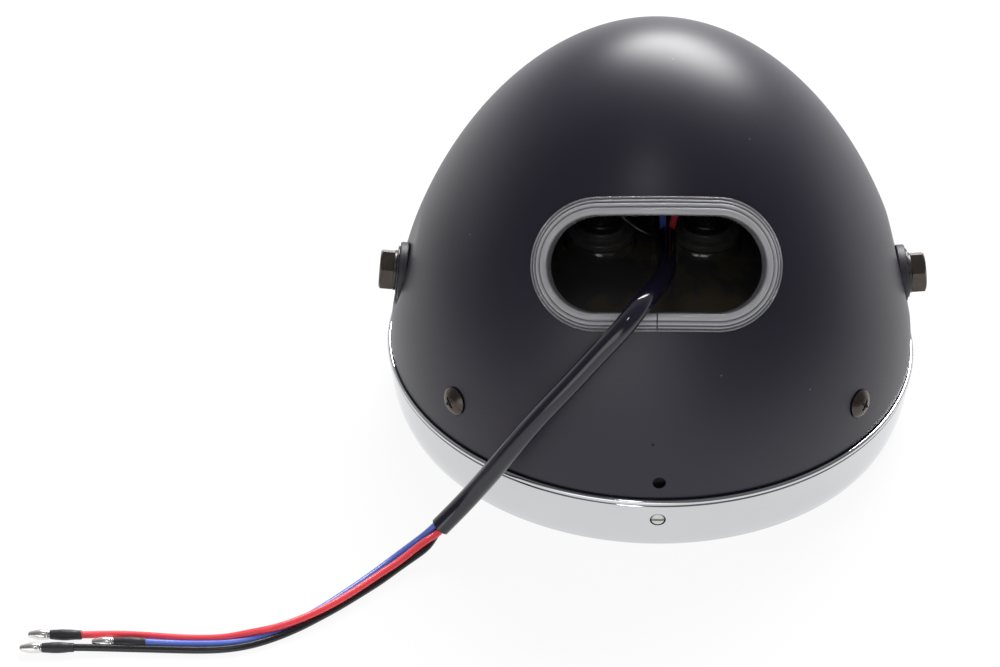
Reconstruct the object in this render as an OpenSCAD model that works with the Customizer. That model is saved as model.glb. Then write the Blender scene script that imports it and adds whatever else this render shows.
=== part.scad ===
// Motorcycle headlight with a bullet shell, lying on its chrome rim.
// Z is the lamp's axis. The cable window, which is below the lamp in use, looks toward -Y.

/* [Shell] */
// Radius of the shell at its joint with the rim
shell_r = 92; // [90:1:94]
// Height of the bullet above its joint
shell_h = 118; // [112:1:124]
// How long the bullet keeps its width before it closes
shell_shoulder = 1.65; // [1.6:0.05:1.7]
// How blunt the bullet's nose is
shell_bluntness = 1.9; // [1.85:0.05:1.95]
// Thickness of the pressed sheet
wall = 1.2; // [1:0.1:1.4]
// Height of the shell's joint above the floor
joint_z = 22; // [21.5:0.5:23]

/* [Side mounts] */
// Distance of each pressed flat's centre from the lamp's axis
flat_x = 85.8; // [85.5:0.1:86.2]
// Height of each flat's centre above the floor
flat_z = 46; // [45:0.5:47]
// Lean of each flat, following the shell's taper, in degrees
flat_lean = 13; // [12:0.5:14]
// Thread diameter of the side bolts
bolt_d = 8; // [8]
// Width across flats of the bolt heads
bolt_af = 13; // [13]

/* [Cable window] */
// Sideways place of the window
window_x = -1.9; // [-3:0.1:0]
// Height of the window's centre on the shell
window_z = 96.5; // [95:0.5:98]
// Rise of the direction in which the window is cut, in degrees
window_rise = 39; // [37:1:41]
// Half of the hole's width
window_half_w = 36; // [34:1:37]
// Half of the hole's height, which is its end radius too
window_half_h = 17.2; // [16:0.2:18]
// How far the edge trim reaches outside the hole
trim_out = 3.9; // [3:0.1:4.5]
// How far the edge trim reaches into the hole
trim_in = 2.1; // [1.8:0.1:2.4]

/* [Rim and lamp unit] */
// Largest radius of the rim
rim_r = 92.3; // [92.2:0.1:92.5]
// Thickness of the rim's sheet
rim_t = 1; // [0.8:0.1:1]
// Radius of the opening in front of the glass
front_r = 83.2; // [82:0.2:84]
// Half of the distance between the two bulbs
bulb_x = 18; // [17:0.5:19]
// Height of the reflector bowls' tops above the floor
bowl_top = 60; // [58:1:61]
// Focal length of each reflector bowl
bowl_focus = 28; // [26:1:30]

/* [Cable] */
// Outer diameter of the sleeve
sleeve_d = 6.6; // [6.2:0.1:6.8]
// Outer diameter of each wire
wire_d = 2.3; // [2.1:0.1:2.4]

/* [Hidden] */

// Clearance between pieces that lie against each other, and round a screw in its hole
fit = 0.05;
hole_play = 0.4;

// The joggled skirt that carries the shell inside the rim
skirt_r = 90;
skirt_z = 10.6;

// Screws of the case and the rim
case_screw_turn = 48;
case_screw_z = 37;
case_screw_d = 5;
case_screw_reach = 10.6;
rim_screw_z = 13.6;
rim_screw_d = 3;
drain_z = 28.4;
drain_d = 4.3;

// The edge trim's legs outside and inside the sheet
trim_leg_out = 1.8;
trim_leg_in = 1.4;
trim_gap = 0.04;

// Heights in the lamp unit, from the floor up
lens_edge_z = 2.7;
lens_edge_t = 3;
lens_r = 86.8;
seal_t = 1.4;
flange_t = 1.6;
ring_t = 1.4;
flange_z = lens_edge_z + lens_edge_t + seal_t;
ring_z = flange_z + flange_t;
bowl_t = 2;
seat_hole_d = 20;

// Stack on each side bolt, from the flat outward
spacer_t = 3.3;
plain_t = 1.4;
spring_t = 1.6;
head_h = 5.3;
nut_h = 6.5;

// Wires inside the sleeve lie in a triangle this far from its centre
wire_pitch = 1.5;
floor_wire_z = 1.2;
boot_z = 1.8;

black_paint = [0.16, 0.16, 0.19];
chrome = [0.83, 0.84, 0.85];
dark_zinc = [0.25, 0.23, 0.21];
zinc = [0.72, 0.72, 0.70];
rubber = [0.07, 0.07, 0.08];
clear_vinyl = [0.75, 0.76, 0.80];
wire_red_colour = [0.85, 0.16, 0.20];
wire_blue_colour = [0.16, 0.24, 0.68];
wire_black_colour = [0.08, 0.08, 0.10];

// The shell's outer surface

shell_steps = 36;

function shell_radius(z) =
    let (t = min(1, max(0, (z - joint_z) / shell_h)))
    shell_r * pow(1 - pow(t, shell_shoulder), 1 / shell_bluntness);
function shell_lean(z) = atan(shell_radius(z - 0.5) - shell_radius(z + 0.5));
function step_z(i) = joint_z + shell_h * (1 - pow(1 - i / shell_steps, 2));

// A point of the profile, moved inward along the surface's normal
function profile_point(i, inset) =
    let (z = step_z(i), lean = i == 0 ? 0 : shell_lean(z))
    i == shell_steps ? [0, joint_z + shell_h - inset]
    : [max(0, shell_radius(z) - inset * cos(lean)), z - inset * sin(lean)];
function profile(inset) = [for (i = [0 : shell_steps]) profile_point(i, inset)];

// The bullet as a solid, smaller by the inset all round, with both pressed flats
module bullet(inset) {
    difference() {
        rotate_extrude($fn = 120) polygon(concat([[0, joint_z]], profile(inset)));
        for (side = [-1, 1]) at_flat(side) translate([-40, -60, -inset]) cube([80, 120, 30]);
    }
}

// Places its children on a side flat, with Z along the bolt, outward
module at_flat(side) {
    translate([side * flat_x, 0, flat_z]) rotate([0, side * (90 - flat_lean), 0]) children();
}

// Places its children on the shell at a turn from -Y, with Z outward along the normal
module on_shell(turn, z) {
    rotate([0, 0, turn]) translate([0, -shell_radius(z), z]) rotate([90 - shell_lean(z), 0, 0])
        children();
}

// Places its children in the plane of the cable window, with Z outward along the cut
module at_window() {
    translate([window_x, -shell_radius(window_z), window_z]) rotate([90 - window_rise, 0, 0])
        children();
}

module stadium(half_w, half_h) {
    straight = half_w - half_h;
    translate([-straight, -half_h]) square([2 * straight, 2 * half_h]);
    for (side = [-1, 1]) translate([side * straight, 0]) circle(r = half_h, $fn = 64);
}

// A prism on the window's outline, wider by grow, long enough to pass the curved wall
module window_prism(grow) {
    at_window() translate([0, 0, -26]) linear_extrude(34)
        stadium(window_half_w + grow, window_half_h + grow);
}

module shell() {
    color(black_paint) difference() {
        union() {
            bullet(0);
            translate([0, 0, skirt_z]) cylinder(r = skirt_r, h = joint_z - skirt_z + 1, $fn = 120);
        }
        difference() {
            bullet(wall);
            cylinder(r = shell_r, h = joint_z + wall, $fn = 120);
        }
        translate([0, 0, skirt_z - 1])
            cylinder(r = skirt_r - wall, h = joint_z + wall - skirt_z + 1.01, $fn = 120);
        window_prism(0);
        for (side = [-1, 1]) {
            on_shell(side * case_screw_turn, case_screw_z) bore(case_screw_d + hole_play);
            at_flat(side) bore(bolt_d + hole_play);
        }
        on_shell(0, drain_z) bore(drain_d);
        translate([0, -skirt_r, rim_screw_z]) rotate([90, 0, 0]) bore(rim_screw_d + hole_play);
    }
}

module bore(d, reach = 5) {
    translate([0, 0, -reach]) cylinder(d = d, h = 2 * reach, $fn = 48);
}

// The U-shaped trim: two legs over the sheet and a web through the hole. Its outer leg is lower
// along its outer edge.
module window_trim() {
    color(clear_vinyl) difference() {
        for (step = [0, 1.1]) intersection() {
            window_prism(trim_out - step);
            difference() {
                bullet(-trim_leg_out - (step - 1.1) * 0.5);
                bullet(wall + trim_leg_in);
            }
        }
        difference() {
            bullet(-trim_gap);
            bullet(wall + trim_gap);
            window_prism(-trim_gap);
        }
        window_prism(-trim_in);
        at_window() translate([-0.15, -window_half_h - trim_out - 1, -26]) cube([0.3, 8, 34]);
    }
}

// Points of a parabolic arc between two ends with a middle control point
function arc_points(a, b, c, n) = [for (i = [0 : n])
    let (t = i / n) a * pow(1 - t, 2) + b * 2 * t * (1 - t) + c * t * t];

// The rim's sheet: a tapered side wall, a front flange and a lip over the glass
module rim_sheet() {
    side_outer = arc_points([rim_r, joint_z - 1], [rim_r - 0.7, 6], [rim_r - 3.1, 0.8], 10);
    side_inner = [for (p = side_outer) p - [rim_t, 0]];
    front_outer = [[rim_r - 4.1, 0], [front_r + 2, 0], [front_r, 1.6]];
    front_inner = [[front_r + 0.8, 2.4], [front_r + 2.5, rim_t], [rim_r - 4.3, rim_t]];
    polygon(concat(side_outer, front_outer, front_inner,
        [for (i = [len(side_inner) - 1 : -1 : 0]) side_inner[i]]));
}

// Pressed ring with a rolled bead along its rear edge
module rim() {
    bead_r = 0.95;
    color(chrome) difference() {
        union() {
            rotate_extrude($fn = 120) rim_sheet();
            rotate_extrude($fn = 120) translate([rim_r - bead_r + 0.2, joint_z - bead_r - 0.3])
                circle(r = bead_r, $fn = 32);
        }
        translate([0, -rim_r, rim_screw_z]) rotate([90, 0, 0]) bore(5.2);
    }
}

// Slotted screw behind the hole in the rim
module rim_screw() {
    head_z = rim_r - 1.6;
    color(zinc) difference() {
        translate([0, 0, rim_screw_z]) rotate([90, 0, 0]) {
            translate([0, 0, 84]) cylinder(d = rim_screw_d, h = head_z - 84, $fn = 32);
            translate([0, 0, skirt_r + 0.1]) cylinder(d = 4.6, h = head_z - skirt_r + 0.4, $fn = 48);
        }
        translate([-3, -head_z - 1, rim_screw_z - 0.4]) cube([6, 1.2, 0.8]);
    }
}

module rim_nut() {
    color(zinc) difference() {
        translate([-4.5, -skirt_r + wall + 0.5, rim_screw_z - 3.3]) cube([9, 2.4, 7]);
        translate([0, -skirt_r + 4, rim_screw_z]) rotate([90, 0, 0]) bore(rim_screw_d + 2 * fit);
    }
}

// Front glass, almost flat: its middle is lower than its edge but clear of the floor
module lens() {
    sag = 1.6;
    outer = [for (i = [0 : 12]) [front_r * i / 12, lens_edge_z - sag * (1 - pow(i / 12, 2))]];
    inner = [for (i = [12 : -1 : 0]) [(front_r - 2) * i / 12,
        lens_edge_z + lens_edge_t - sag * (1 - pow(i / 12, 2))]];
    color([0.85, 0.90, 0.93, 0.4]) rotate_extrude($fn = 96)
        polygon(concat(outer, [[lens_r, lens_edge_z + 0.3], [lens_r, lens_edge_z + lens_edge_t]], inner));
}

module lens_seal() {
    color(rubber) translate([0, 0, lens_edge_z + lens_edge_t]) difference() {
        cylinder(r = lens_r, h = seal_t, $fn = 96);
        translate([0, 0, -1]) cylinder(r = lens_r - 3.4, h = seal_t + 2, $fn = 96);
    }
}

// A parabolic bowl as a solid, from the flange up to its top
module bowl(top, focus) {
    base = flange_z;
    reach = sqrt(4 * focus * (top - base));
    rotate_extrude($fn = 96) polygon(concat([[0, base]],
        [for (i = [0 : 14]) let (r = reach * (1 - i / 14)) [r, top - r * r / (4 * focus)]]));
}

module twin_bowls(top, focus) {
    for (side = [-1, 1]) translate([side * bulb_x, 0, 0]) bowl(top, focus);
}

// Two reflector bowls run together on one flange, with a bulb seat on each
module reflector() {
    color([0.10, 0.10, 0.11]) difference() {
        union() {
            intersection() {
                twin_bowls(bowl_top + bowl_t, bowl_focus + 0.4);
                translate([0, 0, flange_z]) cylinder(r = 81, h = 80, $fn = 96);
            }
            translate([0, 0, flange_z]) cylinder(r = lens_r, h = flange_t, $fn = 96);
            for (side = [-1, 1]) translate([side * bulb_x, 0, bowl_top - 8])
                cylinder(d = seat_hole_d + 6, h = 11, $fn = 64);
            translate([-1.2, -10, bowl_top - 24]) cube([2.4, 38, 25]);
        }
        intersection() {
            twin_bowls(bowl_top, bowl_focus);
            translate([0, 0, flange_z - 1]) cylinder(r = 79, h = 80, $fn = 96);
        }
        translate([0, 0, flange_z - 1]) cylinder(r = 74, h = 2, $fn = 96);
        for (side = [-1, 1]) translate([side * bulb_x, 0, bowl_top - 20])
            cylinder(d = seat_hole_d, h = 40, $fn = 64);
    }
}

// Steel ring that clamps the lamp unit, with two tabs for the case screws
module mounting_ring() {
    tab_w = 14;
    color(zinc) difference() {
        union() {
            translate([0, 0, ring_z]) difference() {
                cylinder(r = skirt_r - wall - 0.5, h = ring_t, $fn = 96);
                translate([0, 0, -1]) cylinder(r = 82, h = ring_t + 2, $fn = 96);
            }
            for (side = [-1, 1]) rotate([0, 0, side * case_screw_turn])
                translate([-tab_w / 2, -87, ring_z]) cube([tab_w, 1.6, case_screw_z + 6 - ring_z]);
        }
        for (side = [-1, 1]) on_shell(side * case_screw_turn, case_screw_z)
            bore(case_screw_d + hole_play, 9);
    }
}

// Four sheet clips, each a foot on the ring and a finger over the reflector's edge
module lamp_clips() {
    color(zinc) for (turn = [20 : 90 : 290]) rotate([0, 0, turn]) {
        translate([-6, 82.5, ring_z + ring_t + fit]) cube([12, 5, 0.8]);
        translate([-6, 81.8, ring_z + ring_t + fit]) cube([12, 1, 3]);
        translate([0, 85.5, ring_z + ring_t + 0.8]) cylinder(d = 3.4, h = 1, $fn = 24);
    }
}

// Cross-head screw of the case, on the shell's normal
module case_screw(side) {
    color(dark_zinc) on_shell(side * case_screw_turn, case_screw_z) difference() {
        union() {
            translate([0, 0, fit]) intersection() {
                cylinder(d = 9.6, h = 2.4, $fn = 64);
                translate([0, 0, -4.6]) sphere(r = 7, $fn = 64);
            }
            translate([0, 0, -case_screw_reach])
                cylinder(d = case_screw_d, h = case_screw_reach + 0.2, $fn = 32);
        }
        for (turn = [0, 90]) rotate([0, 0, turn + 45]) translate([-2.4, -0.5, 0.9]) cube([4.8, 1, 3]);
    }
}

module case_nut(side) {
    color(zinc) on_shell(side * case_screw_turn, case_screw_z)
        translate([0, 0, 0.4 - case_screw_reach]) difference() {
            cylinder(d = 9.2, h = 4, $fn = 6);
            cylinder(d = case_screw_d + 2 * fit, h = 20, center = true, $fn = 32);
        }
}

// Sealed bulb: a metal base in the seat and a glass capsule toward the front
module bulb(side) {
    color([0.80, 0.80, 0.78]) translate([side * bulb_x, 0, 0]) {
        translate([0, 0, bowl_top - 8]) cylinder(d = seat_hole_d - 4 * fit, h = 11, $fn = 48);
        translate([0, 0, bowl_top - 38]) cylinder(d = 12, h = 30.5, $fn = 48);
        translate([0, 0, bowl_top - 38]) sphere(d = 12, $fn = 48);
    }
}

// Holder that locks the bulb on its seat: a wide flange and a smaller step
module bulb_holder(side) {
    color([0.45, 0.45, 0.46]) translate([side * bulb_x, 0, bowl_top + 3 + fit]) {
        cylinder(d = 23, h = 2.4, $fn = 64);
        cylinder(d = 17.5, h = 5, $fn = 64);
    }
}

// Soft cap over the bulb's contacts, with a rounded top where the leads leave it
module bulb_cap(side) {
    color(rubber) translate([side * bulb_x, 0, bowl_top + 8 + 2 * fit]) rotate_extrude($fn = 64)
        polygon(concat([[0, 0], [8.2, 0], [8.2, 2.6], [6.8, 3.6], [6.8, 14]],
            [for (a = [15 : 15 : 60]) [4 + 2.8 * cos(a), 14 + 3.4 * sin(a)]], [[4, 17.6], [0, 17.6]]));
}

// The bolt's stack, seen from the flat outward

module spacer_washer(side) {
    color(rubber) at_flat(side) washer(20, bolt_d + 0.8, fit, spacer_t - 2 * fit);
}

module plain_washer(side) {
    color(dark_zinc) at_flat(side) washer(17, bolt_d + 0.4, spacer_t, plain_t - fit);
}

// Spring washer with its slanted cut
module spring_washer(side) {
    start = spacer_t + plain_t;
    color(dark_zinc) at_flat(side) difference() {
        washer(14, bolt_d + 0.3, start, spring_t - fit);
        rotate([0, 0, 60]) translate([5.5, 0, start + spring_t / 2]) rotate([35, 0, 0])
            cube([6, 0.9, 6], center = true);
    }
}

module washer(outer_d, inner_d, start, thickness) {
    translate([0, 0, start]) difference() {
        cylinder(d = outer_d, h = thickness, $fn = 64);
        translate([0, 0, -1]) cylinder(d = inner_d, h = thickness + 2, $fn = 48);
    }
}

// Hex bolt with a corner toward the window's side, its head's corners turned off on top
module side_bolt(side) {
    seat = spacer_t + plain_t + spring_t;
    color(dark_zinc) at_flat(side) {
        translate([0, 0, seat]) intersection() {
            rotate([0, 0, 30]) cylinder(d = bolt_af / cos(30), h = head_h, $fn = 6);
            cylinder(d1 = bolt_af + 8, d2 = bolt_af - 0.4, h = head_h, $fn = 64);
        }
        translate([0, 0, seat - 18]) cylinder(d = bolt_d, h = 18.2, $fn = 48);
        translate([0, 0, seat - 19]) cylinder(d1 = bolt_d - 1.6, d2 = bolt_d, h = 1, $fn = 48);
    }
}

// Weld nut behind the flat
module side_nut(side) {
    color(zinc) at_flat(side) translate([0, 0, -wall - fit - nut_h]) difference() {
        union() {
            cylinder(d = bolt_af / cos(30), h = nut_h, $fn = 6);
            translate([0, 0, nut_h - 1.2]) cylinder(d = 17, h = 1.2, $fn = 64);
        }
        translate([0, 0, -1]) cylinder(d = bolt_d + 2 * fit, h = nut_h + 2, $fn = 48);
    }
}

// Cable routes, chosen by hand: the sleeve from inside the shell over the window's lower lip

sleeve_route = [
    [3.5, -20, 76], [3, -32, 79], [2.5, -43.5, 82], [1, -55, 84.5], [-2, -64.5, 86],
    [-5.5, -72, 88], [-9, -78.8, 87.3], [-12.5, -82, 83.8], [-16.5, -83, 79.5], [-22, -84.5, 73],
    [-27.5, -86, 66.5], [-33.5, -87.5, 59.5], [-39.5, -88, 52], [-45, -88.5, 44],
    [-50, -88.5, 36.5], [-54.5, -88.5, 29.5], [-59, -88, 22.5], [-64, -88, 15.5], [-71, -90, 8]
];

// Free wires from the sleeve's cut end to the boots, then straight into them
wire_red_route = [
    [-77.5, -95.2, 6.4], [-84, -100, 4.8], [-91, -105.5, 3.9], [-99, -111.5, 3.9],
    [-107, -117, 3.9], [-115, -122, 3.9], [-130, -131, 3.9],
    [-137, -133.5, 3.2], [-145, -134.8, 2], [-156, -134.8, floor_wire_z],
    [-167, -134.5, floor_wire_z], [-174, -133.8, 1.7], [-181, -133, boot_z],
    [-184.5, -132.7, boot_z]
];
wire_blue_route = [
    [-77.5, -93, 4.2], [-84, -97, 2.2], [-91, -102, 1.4], [-99, -108.5, floor_wire_z],
    [-107, -115, floor_wire_z], [-115, -121.5, floor_wire_z], [-122.5, -127.5, floor_wire_z],
    [-130, -132.5, floor_wire_z], [-137, -136, floor_wire_z], [-145, -138, floor_wire_z],
    [-153, -138.4, 1.6], [-162, -138.3, boot_z], [-165, -138.3, boot_z]
];
wire_black_route = [
    [-77, -96, 3], [-84, -102.5, 1.5], [-91, -109.5, floor_wire_z], [-99, -117, floor_wire_z],
    [-107, -123, floor_wire_z], [-114, -128, floor_wire_z], [-120, -132, floor_wire_z],
    [-127, -135.8, floor_wire_z], [-136, -139.5, floor_wire_z], [-147, -142, floor_wire_z],
    [-158, -142.5, floor_wire_z], [-171, -142.2, 1.5], [-183, -141.2, boot_z],
    [-186.5, -141, boot_z]
];

// Leads inside the shell, from the bulb caps to the sleeve
lead_red_route = [[18, 0, 85.7], [18, 0, 90], [15.5, -1.5, 92.5], [11, -5, 89], [7.5, -10, 82]];
lead_blue_route = [[-18, 2, 85.7], [-18, 2, 91], [-13, 1, 96], [-4, -2, 93], [1.5, -8, 84]];
lead_black_route = [[-18, -2, 85.7], [-18, -2, 88], [-17.5, -6, 88], [-12, -11.5, 79], [-4, -14, 73.5]];

function unit(v) = v / norm(v);
function tangent(route, i) =
    unit(route[min(i + 1, len(route) - 1)] - route[max(i - 1, 0)]);

// A level direction across a route, and the same one carried along the route without a twist
function sideways(along) = unit(cross(along, abs(along[2]) > 0.95 ? [1, 0, 0] : [0, 0, 1]));
function carried(a, along) = unit(a - (a * along) * along);
function carried_along(route) = let (end = len(route) - 1)
    [for (i = 0, a = sideways(tangent(route, 0)); i <= end;
        i = i + 1, a = carried(a, tangent(route, min(i, end)))) a];

function ring(centre, along, a, r, sides) =
    let (b = cross(a, along))
    [for (k = [0 : sides - 1]) centre + r * (a * cos(360 * k / sides) + b * sin(360 * k / sides))];

module tube(route, d, sides) {
    count = len(route);
    across = carried_along(route);
    points = [for (i = [0 : count - 1])
        each ring(route[i], tangent(route, i), across[i], d / 2, sides)];
    walls = [for (i = [0 : count - 2]) for (k = [0 : sides - 1])
        let (m = (k + 1) % sides, low = i * sides, high = low + sides)
        each [[low + k, low + m, high + k], [low + m, high + m, high + k]]];
    start = [for (k = [sides - 1 : -1 : 0]) k];
    end = [for (k = [0 : sides - 1]) (count - 1) * sides + k];
    polyhedron(points = points, faces = concat(walls, [start], [end]));
}

// Where one of the three wires leaves an end of the sleeve
function sleeve_exit(i, turn) =
    let (along = tangent(sleeve_route, i), a = sideways(along), b = cross(a, along))
    sleeve_route[i] + wire_pitch * (a * cos(turn) + b * sin(turn));

last = len(sleeve_route) - 1;
stub = 1.6;
outlet_turns = [120, 0, 240];
inlet_turns = [150, 30, 270];

module cable_sleeve() {
    color(rubber) tube(sleeve_route, sleeve_d, 12);
}

module wire(route, turn, paint) {
    start = sleeve_exit(last, turn);
    color(paint) tube(concat([start, start + stub * tangent(sleeve_route, last)], route), wire_d, 8);
}

module lead(route, turn, paint) {
    end = sleeve_exit(0, turn);
    color(paint) tube(concat(route, [end - stub * tangent(sleeve_route, 0), end]), wire_d, 8);
}

// Places its children at a wire's end, with Z along the wire toward the bullet
module at_end(route) {
    from = route[len(route) - 2];
    to = route[len(route) - 1];
    translate(from) rotate([0, 90, atan2(to[1] - from[1], to[0] - from[0])]) children();
}

// Shrunk sleeve over the joint of wire and terminal, fuller in the middle
module boot(route) {
    color(rubber) at_end(route) rotate_extrude($fn = 32) polygon([
        [1.2, 0], [1.45, 0], [1.5, 1.5], [1.72, 4], [1.75, 6.5], [1.6, 9], [1.5, 10], [1.2, 10]
    ]);
}

// Bullet terminal: barrel inside the boot, then the bullet with its tapered nose
module terminal(route) {
    from = route[len(route) - 2];
    to = route[len(route) - 1];
    color(zinc) at_end(route) rotate_extrude($fn = 48) polygon([
        [0, norm(to - from)], [1.15, norm(to - from)], [1.15, 10.2], [1.65, 10.4], [1.65, 13.8],
        [1.05, 16.4], [0.7, 17], [0, 17]
    ]);
}

shell();
window_trim();
rim();
rim_screw();
rim_nut();
lens();
lens_seal();
reflector();
mounting_ring();
lamp_clips();
case_screw(-1);  // case_screw_left
case_screw(1);  // case_screw_right
case_nut(-1);  // case_nut_left
case_nut(1);  // case_nut_right
bulb(-1);  // bulb_left
bulb(1);  // bulb_right
bulb_holder(-1);  // bulb_holder_left
bulb_holder(1);  // bulb_holder_right
bulb_cap(-1);  // bulb_cap_left
bulb_cap(1);  // bulb_cap_right
side_bolt(-1);  // side_bolt_left
side_bolt(1);  // side_bolt_right
spring_washer(-1);  // spring_washer_left
spring_washer(1);  // spring_washer_right
plain_washer(-1);  // plain_washer_left
plain_washer(1);  // plain_washer_right
spacer_washer(-1);  // spacer_washer_left
spacer_washer(1);  // spacer_washer_right
side_nut(-1);  // side_nut_left
side_nut(1);  // side_nut_right
cable_sleeve();
lead(lead_red_route, inlet_turns[0], wire_red_colour);  // lead_red
lead(lead_blue_route, inlet_turns[1], wire_blue_colour);  // lead_blue
lead(lead_black_route, inlet_turns[2], wire_black_colour);  // lead_black
wire(wire_red_route, outlet_turns[0], wire_red_colour);  // wire_red
wire(wire_blue_route, outlet_turns[1], wire_blue_colour);  // wire_blue
wire(wire_black_route, outlet_turns[2], wire_black_colour);  // wire_black
boot(wire_red_route);  // boot_red
boot(wire_blue_route);  // boot_blue
boot(wire_black_route);  // boot_black
terminal(wire_red_route);  // terminal_red
terminal(wire_blue_route);  // terminal_blue
terminal(wire_black_route);  // terminal_black
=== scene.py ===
import math

import bmesh
import bpy
import numpy as np
from mathutils import Matrix, Vector, noise


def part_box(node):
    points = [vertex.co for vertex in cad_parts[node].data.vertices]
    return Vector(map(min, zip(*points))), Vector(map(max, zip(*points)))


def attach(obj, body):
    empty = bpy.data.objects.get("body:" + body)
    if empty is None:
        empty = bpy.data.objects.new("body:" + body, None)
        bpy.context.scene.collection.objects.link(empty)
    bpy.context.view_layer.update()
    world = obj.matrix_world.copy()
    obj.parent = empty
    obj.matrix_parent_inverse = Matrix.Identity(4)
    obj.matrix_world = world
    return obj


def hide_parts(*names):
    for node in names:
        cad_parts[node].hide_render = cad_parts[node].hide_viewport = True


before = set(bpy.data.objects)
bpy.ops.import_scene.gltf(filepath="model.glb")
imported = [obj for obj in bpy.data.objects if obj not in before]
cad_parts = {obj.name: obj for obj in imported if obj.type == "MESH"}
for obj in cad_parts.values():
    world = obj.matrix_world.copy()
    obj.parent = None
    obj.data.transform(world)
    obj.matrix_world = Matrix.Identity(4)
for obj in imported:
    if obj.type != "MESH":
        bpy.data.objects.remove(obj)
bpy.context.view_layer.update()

mm = 0.001
print("frame loaded:", len(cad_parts), "nodes")


# A socket that Python's own arithmetic works on: each operation adds its Math node
class Term:
    def __init__(self, graph, socket):
        self.graph = graph
        self.socket = socket

    def other(self, name):  # another output of the same node
        return Term(self.graph, self.graph.pick(self.socket.node.outputs, name))

    def __lt__(self, value):
        return self.graph.maths("LESS_THAN", self, value)


def addOperator(name, operation):
    setattr(Term, f"__{name}__", lambda term, value: term.graph.maths(operation, term, value))
    setattr(Term, f"__r{name}__", lambda term, value: term.graph.maths(operation, value, term))


operators = {"add": "ADD", "sub": "SUBTRACT", "mul": "MULTIPLY", "truediv": "DIVIDE", "pow": "POWER"}
for name, operation in operators.items():
    addOperator(name, operation)


# A node tree of either kind, and the one way that nodes are added to it
class Graph:
    def __init__(self, tree):
        self.tree = tree

    def pick(self, sockets, name):
        if isinstance(name, int):
            return sockets[name]
        return next(s for s in sockets if s.enabled and s.name == name)

    def node(self, kind, values=None, output=None, **settings):
        made = self.tree.nodes.new(kind)
        for name, value in settings.items():
            setattr(made, name, value)
        for name, value in (values or {}).items():
            socket = self.pick(made.inputs, name)
            if isinstance(value, Term):
                self.tree.links.new(value.socket, socket)
            elif value is not None:
                socket.default_value = value
        if not len(made.outputs):
            return None
        if output is None:
            return Term(self, next(s for s in made.outputs if s.enabled))
        return Term(self, self.pick(made.outputs, output))

    def maths(self, operation, first, second=None, clamp=False):
        return self.node("ShaderNodeMath", {0: first, 1: second}, operation=operation, use_clamp=clamp)

    def vector(self, operation, first, second=None, output=None):
        return self.node("ShaderNodeVectorMath", {0: first, 1: second}, output, operation=operation)

    def scaled(self, vector, factor):
        return self.node("ShaderNodeVectorMath", {0: vector, "Scale": factor}, operation="SCALE")

    def join(self, x, y, z):
        return self.node("ShaderNodeCombineXYZ", {"X": x, "Y": y, "Z": z})

    def split(self, vector, axis="X"):
        return self.node("ShaderNodeSeparateXYZ", {"Vector": vector}, axis)

    def position(self):
        return self.node("GeometryNodeInputPosition")

    def meshOf(self, thing):
        return self.node("GeometryNodeObjectInfo", {"Object": thing}, "Geometry")

    def smoothStep(self, value, low, high):
        return self.node("ShaderNodeMapRange", {"Value": value, "From Min": low, "From Max": high},
                         interpolation_type="SMOOTHSTEP")

    def mixColour(self, factor, first, second):
        return self.node("ShaderNodeMix", {"Factor": factor, "A": first, "B": second}, data_type="RGBA")


# Objects and meshes

def addObject(name, data):
    made = bpy.data.objects.new(name, data)
    bpy.context.scene.collection.objects.link(made)
    return made


def meshObject(name, points, faces):
    mesh = bpy.data.meshes.new(name)
    mesh.from_pydata([tuple(p) for p in points], [], [tuple(f) for f in faces])
    mesh.validate()
    return addObject(name, mesh)


# Closes what doubles leave open and turns the faces of a closed mesh outward
def closeMesh(piece, doubles=1e-7):
    work = bmesh.new()
    work.from_mesh(piece.data)
    bmesh.ops.remove_doubles(work, verts=work.verts, dist=doubles)
    bmesh.ops.dissolve_degenerate(work, edges=work.edges, dist=1e-8)
    bmesh.ops.recalc_face_normals(work, faces=work.faces)
    work.to_mesh(piece.data)
    work.free()
    return piece


def shadeSmooth(piece, angle=38):
    piece.data.polygons.foreach_set("use_smooth", [True] * len(piece.data.polygons))
    piece.data.set_sharp_from_angle(angle=math.radians(angle))
    return piece


# The evaluated mesh takes the place of the modifiers
def applyModifiers(piece):
    bpy.context.view_layer.update()
    depsgraph = bpy.context.evaluated_depsgraph_get()
    mesh = bpy.data.meshes.new_from_object(piece.evaluated_get(depsgraph), preserve_all_data_layers=True,
                                           depsgraph=depsgraph)
    piece.modifiers.clear()
    piece.data = mesh
    return piece


def moved(piece, matrix):
    piece.data.transform(matrix)
    return piece


def joined(name, pieces):
    work = bmesh.new()
    for piece in pieces:
        work.from_mesh(piece.data)
    mesh = bpy.data.meshes.new(name)
    work.to_mesh(mesh)
    work.free()
    made = addObject(name, mesh)
    for piece in pieces:
        bpy.data.objects.remove(piece)
    return made


def boolean(piece, cutter, operation="DIFFERENCE"):
    step = piece.modifiers.new("cut", "BOOLEAN")
    step.operation = operation
    step.solver = "EXACT"
    step.object = cutter
    applyModifiers(piece)
    bpy.data.objects.remove(cutter)
    return piece


# A closed section of (radius, height) points turned round the Z axis
def lathe(name, section, sides=96):
    points = [(r * math.cos(a), r * math.sin(a), z) for a in circle(sides) for r, z in section]
    count = len(section)
    faces = []
    for k in range(sides):
        here, after = k * count, (k + 1) % sides * count
        for i in range(count):
            j = (i + 1) % count
            if section[i][0] < 1e-9 and section[j][0] < 1e-9:
                continue
            faces.append((here + i, after + i, after + j, here + j))
    return closeMesh(meshObject(name, points, faces), 1e-8)


def inMetres(points):
    return [tuple(v * mm for v in point) for point in points]


# The same, from a section in millimetres
def latheMm(name, section, sides=96):
    return lathe(name, inMetres(section), sides)


def circle(count):
    return [2 * math.pi * k / count for k in range(count)]


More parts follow.
